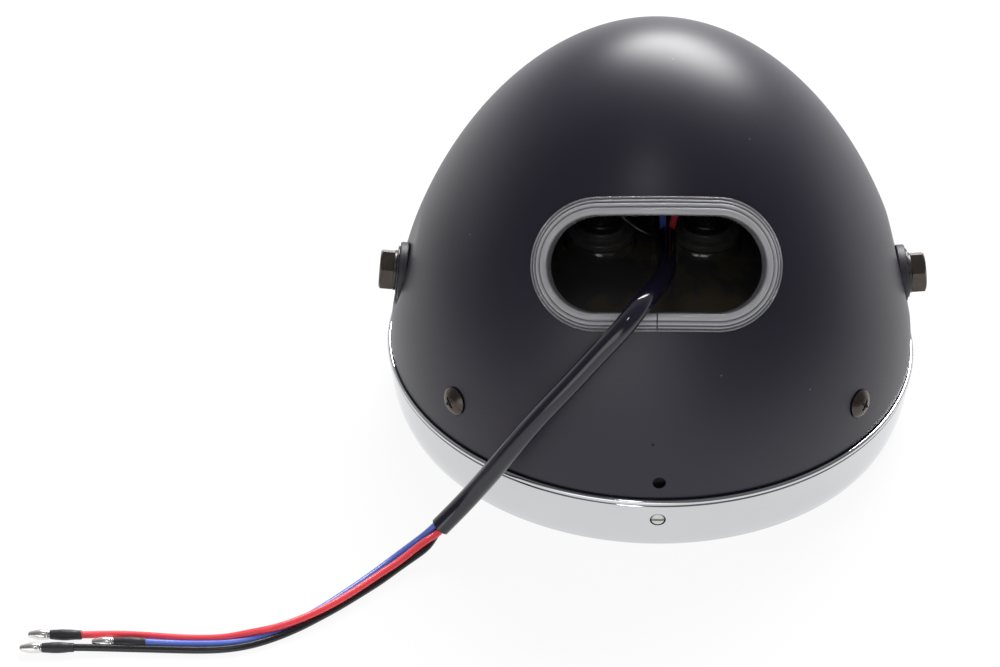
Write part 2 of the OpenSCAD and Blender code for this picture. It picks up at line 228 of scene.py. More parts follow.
# A solid from rings of points round the Z axis, in millimetres, with a middle point at either end
def ringSolid(name, rows, first, last):
    count = len(rows[0])
    points = [point for row in rows for point in row] + [first, last]
    end = (len(rows) - 1) * count
    faces = [(low + k, low + (k + 1) % count, low + count + (k + 1) % count, low + count + k)
             for low in range(0, end, count) for k in range(count)]
    faces += [(k, len(points) - 2, (k + 1) % count) for k in range(count)]
    faces += [(end + (k + 1) % count, len(points) - 1, end + k) for k in range(count)]
    return closeMesh(meshObject(name, inMetres(points), faces))


def arc(centre, radius, start, end, steps):
    angles = [math.radians(start + (end - start) * i / steps) for i in range(steps + 1)]
    return [(centre[0] + radius * math.cos(a), centre[1] + radius * math.sin(a)) for a in angles]


# A cylinder as a cutter, along Z
def bore(name, diameter, low, high, sides=48):
    return lathe(name, [(0, low), (diameter / 2, low), (diameter / 2, high), (0, high)], sides)


def box(name, low, high):
    corners = [(x, y, z) for x in (low[0], high[0]) for y in (low[1], high[1]) for z in (low[2], high[2])]
    faces = [(0, 1, 3, 2), (4, 6, 7, 5), (0, 4, 5, 1), (2, 3, 7, 6), (0, 2, 6, 4), (1, 5, 7, 3)]
    return closeMesh(meshObject(name, corners, faces))


# The camera stands where the photograph was taken from
cameraPlace = {
    "location": (-0.0374, -0.6588, 0.5121),
    "aim": (-0.0516, -0.0535, 0.060),
    "roll": -0.48,
    "lens": 83.41,
    "sensor": 36,
}


def placeCamera(place):
    data = bpy.data.cameras.new("camera")
    data.lens = place["lens"]
    data.sensor_width = place["sensor"]
    data.clip_start, data.clip_end = 0.01, 50
    camera = addObject("camera", data)
    camera.location = place["location"]
    look = Vector(place["aim"]) - camera.location
    turn = look.to_track_quat("-Z", "Y").to_matrix() @ Matrix.Rotation(math.radians(place["roll"]), 3, "Z")
    camera.rotation_mode = "QUATERNION"
    camera.rotation_quaternion = turn.to_quaternion()
    bpy.context.scene.camera = camera


placeCamera(cameraPlace)
bpy.context.scene.view_settings.view_transform = "Standard"


# Where a piece takes its place in the object
def finishPiece(piece, material, replaced, slot=None):
    if material is not None:
        piece.data.materials.clear()
        piece.data.materials.append(material)
    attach(piece, "root")
    if replaced:
        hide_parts(*replaced)
    return piece


def bothSides(node):
    return [node + "_left", node + "_right"]


# Routes of the cords. The sleeve and the leads run as in the part's source; the free wires were read again
# from the photograph.
sleeveRoute = [
    (0.0035, -0.020, 0.076), (0.003, -0.032, 0.079), (0.0025, -0.0435, 0.082), (0.001, -0.055, 0.0845),
    (-0.002, -0.0645, 0.086), (-0.0055, -0.072, 0.088), (-0.009, -0.0788, 0.0873),
    (-0.0125, -0.082, 0.0838), (-0.0165, -0.083, 0.0795), (-0.022, -0.0845, 0.073),
    (-0.0275, -0.086, 0.0665), (-0.0335, -0.0875, 0.0595), (-0.0395, -0.088, 0.052),
    (-0.045, -0.0885, 0.044), (-0.050, -0.0885, 0.0365), (-0.0545, -0.0885, 0.0295),
    (-0.059, -0.088, 0.0225), (-0.064, -0.088, 0.0155), (-0.071, -0.090, 0.008),
]
wireRoutes = {
    "red": [
        (-0.0747, -0.0948, 0.007), (-0.0791, -0.0982, 0.0055), (-0.0835, -0.1025, 0.0045),
        (-0.0896, -0.1081, 0.0039), (-0.0957, -0.1142, 0.0036), (-0.1017, -0.1199, 0.0035),
        (-0.1076, -0.1248, 0.0035), (-0.1136, -0.1289, 0.0035), (-0.1209, -0.1326, 0.0034),
        (-0.1289, -0.1343, 0.0027), (-0.1367, -0.1356, 0.0018), (-0.1446, -0.1356, 0.0013),
        (-0.1525, -0.1352, 0.0012), (-0.1605, -0.1345, 0.0012), (-0.1684, -0.134, 0.0012),
        (-0.1762, -0.1344, 0.0015), (-0.1818, -0.135, 0.0018), (-0.1859, -0.135, 0.0018),
    ],
    "blue": [
        (-0.0762, -0.0909, 0.0052), (-0.08, -0.0933, 0.0034), (-0.0851, -0.0975, 0.0019),
        (-0.09, -0.1027, 0.0013), (-0.0961, -0.1095, 0.0012), (-0.1021, -0.1159, 0.0012),
        (-0.108, -0.1218, 0.0012), (-0.1139, -0.127, 0.0012), (-0.121, -0.1325, 0.0012),
        (-0.1288, -0.1361, 0.0012), (-0.1365, -0.1377, 0.0012), (-0.1443, -0.1381, 0.0012),
        (-0.1521, -0.138, 0.0012), (-0.1568, -0.1381, 0.0015), (-0.1612, -0.1381, 0.0018),
        (-0.1653, -0.1381, 0.0018),
    ],
    "black": [
        (-0.0747, -0.0958, 0.0046), (-0.0791, -0.0989, 0.0029), (-0.0842, -0.103, 0.0016),
        (-0.0897, -0.1088, 0.0012), (-0.0957, -0.1147, 0.0012), (-0.1017, -0.1204, 0.0012),
        (-0.1077, -0.1255, 0.0012), (-0.1136, -0.1302, 0.0012), (-0.1211, -0.135, 0.0012),
        (-0.1286, -0.1384, 0.0012), (-0.1362, -0.1402, 0.0012), (-0.144, -0.1407, 0.0012),
        (-0.1518, -0.1406, 0.0012), (-0.1597, -0.1404, 0.0012), (-0.1691, -0.1402, 0.0012),
        (-0.1769, -0.1403, 0.0015), (-0.1834, -0.1406, 0.0018), (-0.1874, -0.1407, 0.0018),
    ],
}
leadRoutes = {
    "red": [(0.018, 0, 0.0857), (0.018, 0, 0.090), (0.0155, -0.0015, 0.0925), (0.011, -0.005, 0.089),
            (0.0075, -0.010, 0.082)],
    "blue": [(-0.018, 0.002, 0.0857), (-0.018, 0.002, 0.091), (-0.013, 0.001, 0.096), (-0.004, -0.002, 0.093),
             (0.0015, -0.008, 0.084)],
    "black": [(-0.018, -0.002, 0.0857), (-0.018, -0.002, 0.088), (-0.0175, -0.006, 0.088),
              (-0.012, -0.0115, 0.079), (-0.004, -0.014, 0.0735)],
}
cableForm = {
    "sleeveDiameter": 6.6 * mm,
    "sleeveBore": 5.5 * mm,
    "boreDepth": 7 * mm,  # the sleeve is open this far at both ends
    "wireDiameter": 2.3 * mm,
    "wirePitch": 1.5 * mm,
    "stub": 1.6 * mm,
    "tuck": 5 * mm,  # how far a wire reaches into the sleeve
    "easing": 90,
    "wireEasing": 12,
    "lip": 0.25 * mm,
    "sleeveStep": 1.2 * mm,
    "wireStep": 0.9 * mm,
    "leadStep": 0.8 * mm,
    "outletTurns": {"red": 185, "blue": 65, "black": 305},
    "inletTurns": {"red": 150, "blue": 30, "black": 270},
}


def meet(first, second, start, end, t):  # between two points, by the time
    return (end - t) / (end - start) * first + (t - start) / (end - start) * second


# A smooth curve along a route's points, at even steps
def smoothPath(route, passes, step=0.8 * mm):
    knots = np.array([route[0], *route, route[-1]], float)
    knots[0] = 2 * knots[1] - knots[2]
    knots[-1] = 2 * knots[-2] - knots[-3]
    gaps = np.maximum(np.linalg.norm(np.diff(knots, axis=0), axis=1), 1e-9) ** 0.5
    times = np.concatenate([[0], np.cumsum(gaps)])
    dense = []
    for i in range(1, len(knots) - 2):
        t0, t1, t2, t3 = times[i - 1:i + 3]
        for t in np.linspace(t1, t2, 24, endpoint=False):
            before = meet(knots[i - 1], knots[i], t0, t1, t)
            here = meet(knots[i], knots[i + 1], t1, t2, t)
            after = meet(knots[i + 1], knots[i + 2], t2, t3, t)
            dense.append(meet(meet(before, here, t0, t2, t), meet(here, after, t1, t3, t), t1, t2, t))
    even = evenly(np.array(dense + [knots[-2]]), step)
    for _ in range(passes):  # takes out the small bends between the points, and leaves the ends
        even[2:-2] += 0.5 * ((even[1:-3] + even[3:-1]) / 2 - even[2:-2])
    return evenly(even, step)


def evenly(points, step):
    along = np.concatenate([[0], np.cumsum(np.linalg.norm(np.diff(points, axis=0), axis=1))])
    wanted = np.linspace(0, along[-1], max(3, int(along[-1] / step) + 1))
    return np.column_stack([np.interp(wanted, along, points[:, k]) for k in range(3)])


def pathLength(path):
    return float(np.linalg.norm(np.diff(path, axis=0), axis=1).sum())


def directions(path):
    ahead = np.gradient(path, axis=0)
    return ahead / np.linalg.norm(ahead, axis=1)[:, None]


# Rings of points round a path; each ring is a list of (distance along the path, radius)
def sweep(name, path, rings, sides=20):
    ahead = directions(path)
    steps = np.concatenate([[0], np.cumsum(np.linalg.norm(np.diff(path, axis=0), axis=1))])
    across = np.cross(ahead[0], (0, 0, 1) if abs(ahead[0][2]) < 0.9 else (1, 0, 0))
    sideways = []
    for direction in ahead:
        across = across - direction * across.dot(direction)
        across = across / np.linalg.norm(across)
        sideways.append(across)
    sideways = np.array(sideways)
    points, faces = [], []
    for distance, radius in rings:
        place = np.array([np.interp(distance, steps, path[:, k]) for k in range(3)])
        side = np.array([np.interp(distance, steps, sideways[:, k]) for k in range(3)])
        front = np.array([np.interp(distance, steps, ahead[:, k]) for k in range(3)])
        side = side / np.linalg.norm(side)
        up = np.cross(side, front)
        for k in range(sides):
            a = 2 * math.pi * k / sides
            points.append(place + radius * (side * math.cos(a) + up * math.sin(a)))
    for i in range(len(rings) - 1):
        for k in range(sides):
            m = (k + 1) % sides
            faces.append((i * sides + k, i * sides + m, (i + 1) * sides + m, (i + 1) * sides + k))
    faces.append(tuple(range(sides - 1, -1, -1)))
    faces.append(tuple((len(rings) - 1) * sides + k for k in range(sides)))
    return closeMesh(meshObject(name, points, faces))


# Where one of the wires leaves an end of the sleeve, and the sleeve's direction there
def sleeveExit(end, turn):
    route = np.array(sleeveRoute)
    along = route[1] - route[0] if end == 0 else route[-1] - route[-2]
    along = along / np.linalg.norm(along)
    across = np.cross(along, (0, 0, 1))
    across = across / np.linalg.norm(across)
    up = np.cross(across, along)
    a = math.radians(turn)
    return route[end] + cableForm["wirePitch"] * (across * math.cos(a) + up * math.sin(a)), along


def makeSleeve():
    form = cableForm
    path = smoothPath(sleeveRoute, form["easing"])
    long = pathLength(path)
    outer, inner = form["sleeveDiameter"] / 2, form["sleeveBore"] / 2
    lip, deep, step = form["lip"], form["boreDepth"], form["sleeveStep"]
    rings = [(deep, inner), (deep / 2, inner), (0.0, inner), (0.0, outer - lip), (lip, outer)]
    rings += [(s, outer) for s in np.arange(step, long - step, step)]
    rings += [(long - lip, outer), (long, outer - lip), (long, inner), (long - deep / 2, inner),
              (long - deep, inner)]
    return shadeSmooth(sweep("cableSleeve", path, rings, 32)), path, long


def makeStrand(name, route, step):
    path = smoothPath(route, cableForm["wireEasing"])
    long = pathLength(path)
    rings = [(s, cableForm["wireDiameter"] / 2) for s in np.linspace(0, long, int(long / step))]
    return shadeSmooth(sweep(name, path, rings)), path, long


def makeWire(colour):
    start, along = sleeveExit(-1, cableForm["outletTurns"][colour])
    route = [start - along * cableForm["tuck"], start, start + along * cableForm["stub"], *wireRoutes[colour]]
    return makeStrand("wire" + colour.capitalize(), route, cableForm["wireStep"])


def makeLead(colour):
    end, along = sleeveExit(0, cableForm["inletTurns"][colour])
    route = [*leadRoutes[colour], end - along * cableForm["stub"], end, end + along * cableForm["tuck"]]
    return makeStrand("lead" + colour.capitalize(), route, cableForm["leadStep"])[0]


sleeve, sleevePath, sleeveLength = makeSleeve()
wires = {colour: makeWire(colour) for colour in wireRoutes}
leads = {colour: makeLead(colour) for colour in leadRoutes}
print("cords made:", round(sleeveLength, 3), "m of sleeve,",
      ", ".join(f"{round(w[2], 3)} m {c}" for c, w in wires.items()))


# Boots and bullet terminals, along Z from the boot's start
terminalForm = {
    "bootLength": 10 * mm,
    "bootRadii": [(0, 1.42), (0.4, 1.5), (1.5, 1.5), (3, 1.62), (4.4, 1.74), (6.4, 1.75), (8, 1.62), (9.6, 1.5),
                  (10, 1.42)],
    "bootInside": 1.3 * mm,  # the bore's points lie nearer to the axis than this
    "waves": 0.035,
    "waveSize": 2.2 * mm,
    "folds": 0.02,
    "foldPitch": 1.7 * mm,
    "bulletSection": [(0, 9), (1.15, 9), (1.15, 10.25), (1.3, 10.4), (1.55, 10.42), (1.65, 10.55), (1.65, 10.8),
                      (1.58, 10.95), (1.58, 11.1), (1.65, 11.25), (1.65, 13.6), (1.56, 14.2), (1.12, 16.1),
                      (0.98, 16.6), (0.7, 16.93), (0.35, 17), (0, 17)],
}


# From the wire's last stretch: Z runs along it, toward the bullet
def endPlace(colour):
    start, end = Vector(wireRoutes[colour][-2]), Vector(wireRoutes[colour][-1])
    turn = math.atan2(end.y - start.y, end.x - start.x)
    return Matrix.Translation(start) @ Matrix.Rotation(turn, 4, "Z") @ Matrix.Rotation(math.radians(90), 4, "Y")


# Shrunk tubing: its wall follows the joint in soft waves, more on one side than on the other
def makeBoot(colour, seed):
    form = terminalForm
    heights = np.linspace(0, form["bootLength"] / mm, 36)
    known = np.array(form["bootRadii"])
    section = [(1.2, z) for z in (9.9, 0.1)]
    section += [(1.2, 0)] + [(float(np.interp(z, known[:, 0], known[:, 1])), z) for z in heights] + [(1.2, 10)]
    boot = latheMm("boot" + colour.capitalize(), section, 40)
    for vertex in boot.data.vertices:
        x, y, z = vertex.co
        if math.hypot(x, y) > form["bootInside"]:
            wave = noise.noise(Vector((x, y, z)) / form["waveSize"] + Vector((seed, 0, 0)))
            swell = 1 + form["waves"] * wave - form["folds"] * abs(math.sin(z / form["foldPitch"] + seed))
            vertex.co.x, vertex.co.y = x * swell, y * swell
    return shadeSmooth(moved(boot, endPlace(colour)), 50)


def makeTerminal(colour):
    bullet = latheMm("terminal" + colour.capitalize(), terminalForm["bulletSection"], 48)
    return shadeSmooth(moved(bullet, endPlace(colour)), 40)


boots = {colour: makeBoot(colour, 3 * i + 1.5) for i, colour in enumerate(wireRoutes)}
terminals = {colour: makeTerminal(colour) for colour in wireRoutes}
print("boots and terminals made")


# The shell: a superellipse turned round the axis, with a flat pressed into each side
shellForm = {
    "radius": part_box("shell")[1].x,
    "top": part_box("shell")[1].z,
    "jointHeight": 22 * mm,
    "shoulder": 1.65,
    "bluntness": 1.9,
    "sheet": 1.2 * mm,
    "skirtRadius": 90 * mm,
    "skirtBottom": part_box("shell")[0].z,
    "flatDistance": 86.7 * mm,
    "flatHeight": 46 * mm,
    "flatLean": 16,
    "creaseSoftness": 0.15 * mm,  # how softly the flat's edge turns into the shell
    "crowding": 0.3,  # the points stand closer together where the flats are
    "skirtShare": 0.06,
    "joggle": 1.4 * mm,
    "weld": 2e-6,
    "turns": 270,
    "rings": 190,
    "innerTurns": 120,
    "innerRings": 60,
    "seatDistance": 84.9 * mm,
    "seatHeight": 47 * mm,
    "seatLean": 5.5,
    "seatRadius": 10.6 * mm,
    "seatSlope": 0.5,
    "seatReach": 12 * mm,
}
windowForm = {
    "x": -1.9 * mm,
    "height": 96.5 * mm,
    "rise": 39,
    "halfWidth": 36 * mm,
    "halfHeight": 17.2 * mm,
    "cut": (-26 * mm, 8 * mm),
}
holeForm = {
    "caseTurn": 48,
    "caseHeight": 37 * mm,
    "caseBore": 5.4 * mm,
    "caseSeat": 10.3 * mm,  # shallow seat round the screw's head
    "seatDepth": 0.3 * mm,
    "boltBore": 8.4 * mm,
    "drainHeight": 28.4 * mm,
    "drainBore": 4.3 * mm,
    "seatFlare": 0.4 * mm,
    "reach": 5 * mm,  # how far the cutters go through the sheet
    "rimScrewHeight": 13.6 * mm,
    "rimScrewBore": 3.4 * mm,
    "rimHole": 5.2 * mm,
    "dimpleHeight": 42.5 * mm,
    "dimpleX": -2.4 * mm,
    "dimple": [(0, -0.35), (0.35, -0.3), (0.8, 0.3), (0, 0.3)],  # radius and height, in millimetres
}


def shellRadius(z):
    form = shellForm
    t = min(1, max(0, (z - form["jointHeight"]) / (form["top"] - form["jointHeight"])))
    return form["radius"] * (1 - t ** form["shoulder"]) ** (1 / form["bluntness"])


def newGeometryTree(name, inputs):
    tree = bpy.data.node_groups.new(name, "GeometryNodeTree")
    tree.interface.new_socket("Geometry", in_out="INPUT", socket_type="NodeSocketGeometry")
    tree.interface.new_socket("Geometry", in_out="OUTPUT", socket_type="NodeSocketGeometry")
    for label, kind in inputs.items():
        tree.interface.new_socket(label, in_out="INPUT", socket_type="NodeSocket" + kind)
    graph = Graph(tree)
    return graph, graph.node("NodeGroupInput")


def endTree(graph, shape, material):
    shape = graph.node("GeometryNodeRealizeInstances", {"Geometry": shape})
    shape = graph.node("GeometryNodeSetMaterial", {"Geometry": shape, "Material": material})
    graph.node("NodeGroupOutput", {"Geometry": shape})
    return graph


# Runs a tree on an empty object, with the inputs set by their identifiers, and keeps the mesh it makes
def runTree(graph, name, values):
    carrier = meshObject(name + "Carrier", [], [])
    step = carrier.modifiers.new("tree", "NODES")
    step.node_group = graph.tree
    for item in graph.tree.interface.items_tree:
        if item.item_type == "SOCKET" and item.in_out == "INPUT" and item.name in values:
            step[item.identifier] = values[item.name]
    mesh = applyModifiers(carrier).data
    bpy.data.objects.remove(carrier)
    mesh.name = name
    return addObject(name, mesh)


def shellTree():
    graph, given = newGeometryTree("bulletShell", {
        "Radius": "Float", "Top": "Float", "Joint Height": "Float", "Shoulder": "Float", "Bluntness": "Float",
        "Skirt Radius": "Float", "Skirt Bottom": "Float", "Flat Distance": "Float", "Flat Height": "Float",
        "Flat Lean": "Float", "Crease Softness": "Float", "Turns": "Int", "Rings": "Int",
        "Material": "Material",
    })
    g = given.other
    grid = graph.node("GeometryNodeMeshGrid", {
        "Size X": 1.0, "Size Y": 1.0, "Vertices X": g("Turns") + 1, "Vertices Y": g("Rings") + 1})
    split = graph.split(graph.position())
    evenTurn = (split + 0.5) * (2 * math.pi)
    rise = split.other("Y") + 0.5
    turn = evenTurn - graph.maths("SINE", evenTurn * 2) * shellForm["crowding"]
    skirtShare = shellForm["skirtShare"]
    up = graph.maths("MAXIMUM", (rise - skirtShare) / (1 - skirtShare), 0.0)
    high = 1 - (1 - up) * (1 - up)
    low = graph.maths("MINIMUM", rise / skirtShare, 1.0)
    joint, bottom = g("Joint Height"), g("Skirt Bottom")
    z = bottom + (joint - bottom) * low + (g("Top") - joint) * high
    bullet = g("Radius") * graph.maths("MAXIMUM", 1 - high ** g("Shoulder"), 0.0) ** (1 / g("Bluntness"))
    joggle = graph.smoothStep(joint - z, 0.0, shellForm["joggle"])
    r = bullet + (g("Skirt Radius") - bullet) * joggle
    place = graph.join(r * graph.maths("COSINE", turn), r * graph.maths("SINE", turn), z)
    for side in (1, -1):
        lean = g("Flat Lean")
        outward = graph.join(graph.maths("COSINE", lean) * side, 0.0, graph.maths("SINE", lean))
        centre = graph.join(g("Flat Distance") * side, 0.0, g("Flat Height"))
        above = graph.vector("DOT_PRODUCT", graph.vector("SUBTRACT", place, centre), outward, "Value")
        soft = g("Crease Softness")
        steep = graph.maths("MINIMUM", above / soft, 60.0)  # the exponent stays small
        press = soft * graph.maths("LOGARITHM", 1 + graph.maths("EXPONENT", steep), math.e)
        place = graph.vector("SUBTRACT", place, graph.scaled(outward, press))
    shape = graph.node("GeometryNodeSetPosition", {"Geometry": grid, "Position": place})
    shape = graph.node("GeometryNodeMergeByDistance", {"Geometry": shape, "Distance": shellForm["weld"]})
    return endTree(graph, shape, g("Material"))


def flatPlace(side):
    form = shellForm
    return (Matrix.Translation((side * form["seatDistance"], 0, form["seatHeight"]))
            @ Matrix.Rotation(math.radians(side * (90 - form["seatLean"])), 4, "Y"))


# The bullet as a closed solid, smaller by the inset all round, with a round seat in each flat
def bulletSolid(name, inset, turns, rings):
    form = shellForm
    lean = math.radians(form["flatLean"])
    solid = runTree(bulletGraph, name, {
        "Radius": form["radius"] - inset, "Top": form["top"] - inset,
        "Joint Height": form["jointHeight"] + inset, "Shoulder": form["shoulder"], "Bluntness": form["bluntness"],
        "Skirt Radius": form["skirtRadius"] - inset, "Skirt Bottom": form["skirtBottom"] - 2 * inset,
        "Flat Distance": form["flatDistance"] - inset / math.cos(lean), "Flat Height": form["flatHeight"],
        "Flat Lean": lean, "Crease Softness": form["creaseSoftness"], "Turns": turns, "Rings": rings,
    })
    work = bmesh.new()
    work.from_mesh(solid.data)
    bmesh.ops.holes_fill(work, edges=[e for e in work.edges if e.is_boundary], sides=0)
    bmesh.ops.recalc_face_normals(work, faces=work.faces)
    work.to_mesh(solid.data)
    work.free()
    start = form["seatRadius"] + 0.62 * inset  # the wall keeps its thickness on the seat's slope
    top = form["seatReach"] - inset
    seat = [(0, -inset), (start, -inset), (start + form["seatReach"] * form["seatSlope"], top), (0, top)]
    seats = joined("seats", [moved(lathe("seat", seat, 96), flatPlace(side)) for side in (-1, 1)])
    return shadeSmooth(boolean(solid, seats), 40)


bulletGraph = shellTree()
shellSurface = bulletSolid("shellSurface", 0.0, shellForm["turns"], shellForm["rings"])
print("shell surface:", len(shellSurface.data.polygons), "faces,",
      [round(v, 4) for v in shellSurface.dimensions], "m")


# The window's own frame: Z runs outward along the cut
def windowPlace():
    form = windowForm
    origin = Vector((form["x"], -shellRadius(form["height"]), form["height"]))
    return Matrix.Translation(origin) @ Matrix.Rotation(math.radians(90 - form["rise"]), 4, "X")


# A place on the shell at a turn from -Y, with Z along the surface's normal
def shellPlace(turn, height):
    step = 0.5 * mm
    lean = math.degrees(math.atan2(shellRadius(height - step) - shellRadius(height + step), 2 * step))
    return (Matrix.Rotation(math.radians(turn), 4, "Z")
            @ Matrix.Translation((0, -shellRadius(height), height))
            @ Matrix.Rotation(math.radians(90 - lean), 4, "X"))


def stadiumOutline(halfWidth, halfHeight, steps):
    straight = halfWidth - halfHeight
    return (arc((straight, 0), halfHeight, -90, 90, steps)
            + arc((-straight, 0), halfHeight, 90, 270, steps))


def prism(name, outline, low, high):
    count = len(outline)
    points = [(x, y, low) for x, y in outline] + [(x, y, high) for x, y in outline]
    faces = [(i, (i + 1) % count, count + (i + 1) % count, count + i) for i in range(count)]
    faces += [tuple(range(count - 1, -1, -1)), tuple(range(count, 2 * count))]
    return closeMesh(meshObject(name, points, faces))


# Outward through the rim, where its clamp screw is
def clampPlace(radius):
    return (Matrix.Translation((0, -radius, holeForm["rimScrewHeight"]))
            @ Matrix.Rotation(math.radians(90), 4, "X"))


def makeShell():
    form, holes = shellForm, holeForm
    shell = addObject("shell", shellSurface.data.copy())
    boolean(shell, bulletSolid("shellRoom", form["sheet"], form["innerTurns"], form["innerRings"]))
    window = stadiumOutline(windowForm["halfWidth"], windowForm["halfHeight"], 40)
    cutters = [moved(prism("windowCut", window, *windowForm["cut"]), windowPlace())]
    reach, deep = holes["reach"], holes["seatDepth"]
    caseBore, caseSeat = holes["caseBore"] / 2, holes["caseSeat"] / 2
    screwCut = [(0, -reach), (caseBore, -reach), (caseBore, -deep), (caseSeat, -deep),
                (caseSeat + holes["seatFlare"], 3 * mm), (0, 3 * mm)]
    for side in (-1, 1):
        screw = shellPlace(side * holes["caseTurn"], holes["caseHeight"])
        cutters.append(moved(lathe("screwCut", screwCut, 64), screw))
        cutters.append(moved(bore("boltCut", holes["boltBore"], -reach, reach), flatPlace(side)))
    drain = shellPlace(0, holes["drainHeight"])
    cutters.append(moved(bore("drainCut", holes["drainBore"], -reach, reach), drain))
    clamp = clampPlace(form["skirtRadius"])
    cutters.append(moved(bore("clampCut", holes["rimScrewBore"], -reach, reach), clamp))
    height = holes["dimpleHeight"]
    dimple = shellPlace(math.degrees(math.asin(holes["dimpleX"] / shellRadius(height))), height)
    cutters.append(moved(latheMm("dimpleCut", holes["dimple"], 24), dimple))
    boolean(shell, joined("shellCutters", cutters))
    return shadeSmooth(shell, 40)


shell = makeShell()
print("shell made:", len(shell.data.polygons), "faces")


# The window's edge trim: a ridged U profile swept round the hole and laid on the shell
trimForm = {
    "section": [  # (distance outward from the hole's edge, height above the sheet), in millimetres
        (3.85, 0.05), (3.9, 0.45), (3.8, 0.85), (3.62, 1.1), (3.42, 1.14), (3.24, 1.0), (3.12, 0.8), (3.0, 0.7),
        (2.88, 0.8), (2.74, 1.1), (2.55, 1.34), (2.35, 1.38), (2.18, 1.24), (2.06, 0.98), (1.94, 0.88),
        (1.82, 0.98), (1.68, 1.3), (1.48, 1.56), (1.2, 1.64), (0.92, 1.6), (0.72, 1.4), (0.58, 1.12), (0.45, 1.0),
        (0.32, 1.1), (0.16, 1.44), (-0.05, 1.68), (-0.35, 1.82),
        (-0.9, 1.86), (-1.45, 1.68), (-1.85, 1.3), (-2.07, 0.8), (-2.1, 0.2), (-2.1, -1.6), (-2.0, -2.15),
        (-1.6, -2.5), (-1.0, -2.58), (3.2, -2.5), (3.6, -2.3), (3.75, -1.9), (3.6, -1.3), (3.3, -1.26),
        (0.1, -1.26), (-0.02, -1.1), (-0.02, -0.1), (0.1, 0.04),
    ],
    "steps": 330,
    "rayStart": 30 * mm,
    "rayLength": 80 * mm,
    "seamX": 0.0,
    "seamGap": 0.25 * mm,
    "seamCut": ((-7 * mm, -26 * mm), (4 * mm, 12 * mm)),  # from the window's lowest point
}


def sectionCurve(name, points):
    data = bpy.data.curves.new(name, "CURVE")
    data.dimensions = "2D"
    spline = data.splines.new("POLY")
    spline.points.add(len(points) - 1)
    for point, (x, y) in zip(spline.points, points):
        point.co = (x, y, 0, 1)
    spline.use_cyclic_u = True
    return addObject(name, data)


def trimTree():
    graph, given = newGeometryTree("edgeTrim", {
        "Width": "Float", "Height": "Float", "Steps": "Int", "Section": "Object", "Surface": "Object",
        "Origin": "Vector", "Tilt": "Float", "Material": "Material",
    })
    g = given.other
    path = graph.node("GeometryNodeCurvePrimitiveQuadrilateral", {"Width": g("Width"), "Height": g("Height")})
    path = graph.node("GeometryNodeFilletCurve", {
        "Curve": path, "Count": 40, "Limit Radius": True, "Radius": g("Height") * 0.4999}, mode="POLY")
    path = graph.node("GeometryNodeResampleCurve", {"Curve": path, "Count": g("Steps")})
    path = graph.node("GeometryNodeStoreNamedAttribute", {
        "Geometry": path, "Name": "edge", "Value": graph.position()}, data_type="FLOAT_VECTOR", domain="POINT")
    swept = graph.node("GeometryNodeCurveToMesh", {"Curve": path, "Profile Curve": graph.meshOf(g("Section"))})
    kept = graph.node("GeometryNodeStoreNamedAttribute", {
        "Geometry": swept, "Name": "lift", "Value": graph.split(graph.position(), "Z")},
        data_type="FLOAT", domain="POINT")
    level, steep = graph.maths("COSINE", g("Tilt")), graph.maths("SINE", g("Tilt"))
    cut = graph.join(0.0, steep * -1, level)
    target = graph.meshOf(g("Surface"))

    def inWorld(flat):  # from the window's plane
        split = graph.split(flat)
        return graph.join(split, split.other("Y") * level, split.other("Y") * steep)

    def cast(source):  # back along the cut, onto the shell
        return graph.node("GeometryNodeRaycast", {
            "Target Geometry": target, "Attribute": graph.node("GeometryNodeInputNormal"),
            "Source Position": graph.vector("ADD", source, graph.scaled(cut, trimForm["rayStart"])),
            "Ray Direction": graph.scaled(cut, -1.0), "Ray Length": trimForm["rayLength"],
        }, "Hit Position", data_type="FLOAT_VECTOR", mapping="INTERPOLATED")

    edge = graph.node("GeometryNodeInputNamedAttribute", {"Name": "edge"}, data_type="FLOAT_VECTOR")
    reach = graph.vector("SUBTRACT", inWorld(graph.position()), inWorld(edge))
    onEdge = graph.vector("ADD", inWorld(edge), g("Origin"))
    facing = graph.vector("NORMALIZE", cast(onEdge).other("Attribute"))
    outward = graph.vector("NORMALIZE", reach)
    fall = (graph.vector("DOT_PRODUCT", outward, facing, "Value")
            / graph.maths("MAXIMUM", graph.vector("DOT_PRODUCT", cut, facing, "Value"), 0.2))
    shorter = 1 / graph.maths("SQRT", 1 + fall * fall)  # so that the trim keeps its width along the shell
    hit = cast(graph.vector("ADD", onEdge, graph.scaled(reach, shorter)))
    normal = graph.vector("NORMALIZE", hit.other("Attribute"))
    lift = graph.node("GeometryNodeInputNamedAttribute", {"Name": "lift"}, data_type="FLOAT")
    lifted = graph.vector("ADD", hit, graph.scaled(normal, lift))
    shape = graph.node("GeometryNodeSetPosition", {"Geometry": kept, "Position": lifted})
    return endTree(graph, shape, g("Material"))


def makeTrim():
    form, place = trimForm, windowPlace()
    turnedOver = [(x * mm, -y * mm) for x, y in form["section"]]  # the sweep turns it back
    section = sectionCurve("trimSection", turnedOver)
    trim = runTree(trimTree(), "windowTrim", {
        "Width": 2 * windowForm["halfWidth"], "Height": 2 * windowForm["halfHeight"],
        "Steps": form["steps"], "Section": section, "Surface": shellSurface,
        "Origin": place.to_translation(), "Tilt": math.radians(90 - windowForm["rise"]),
    })
    bpy.data.objects.remove(section)
    closeMesh(trim)
    half, bottom = form["seamGap"] / 2, -windowForm["halfHeight"]
    (below, deep), (above, high) = form["seamCut"]
    gap = box("seamCut", (form["seamX"] - half, bottom + below, deep),
              (form["seamX"] + half, bottom + above, high))
    boolean(trim, moved(gap, place))
    return shadeSmooth(trim, 50)


trim = makeTrim()
print("window trim made:", len(trim.data.polygons), "faces,", [round(v, 4) for v in trim.dimensions], "m")


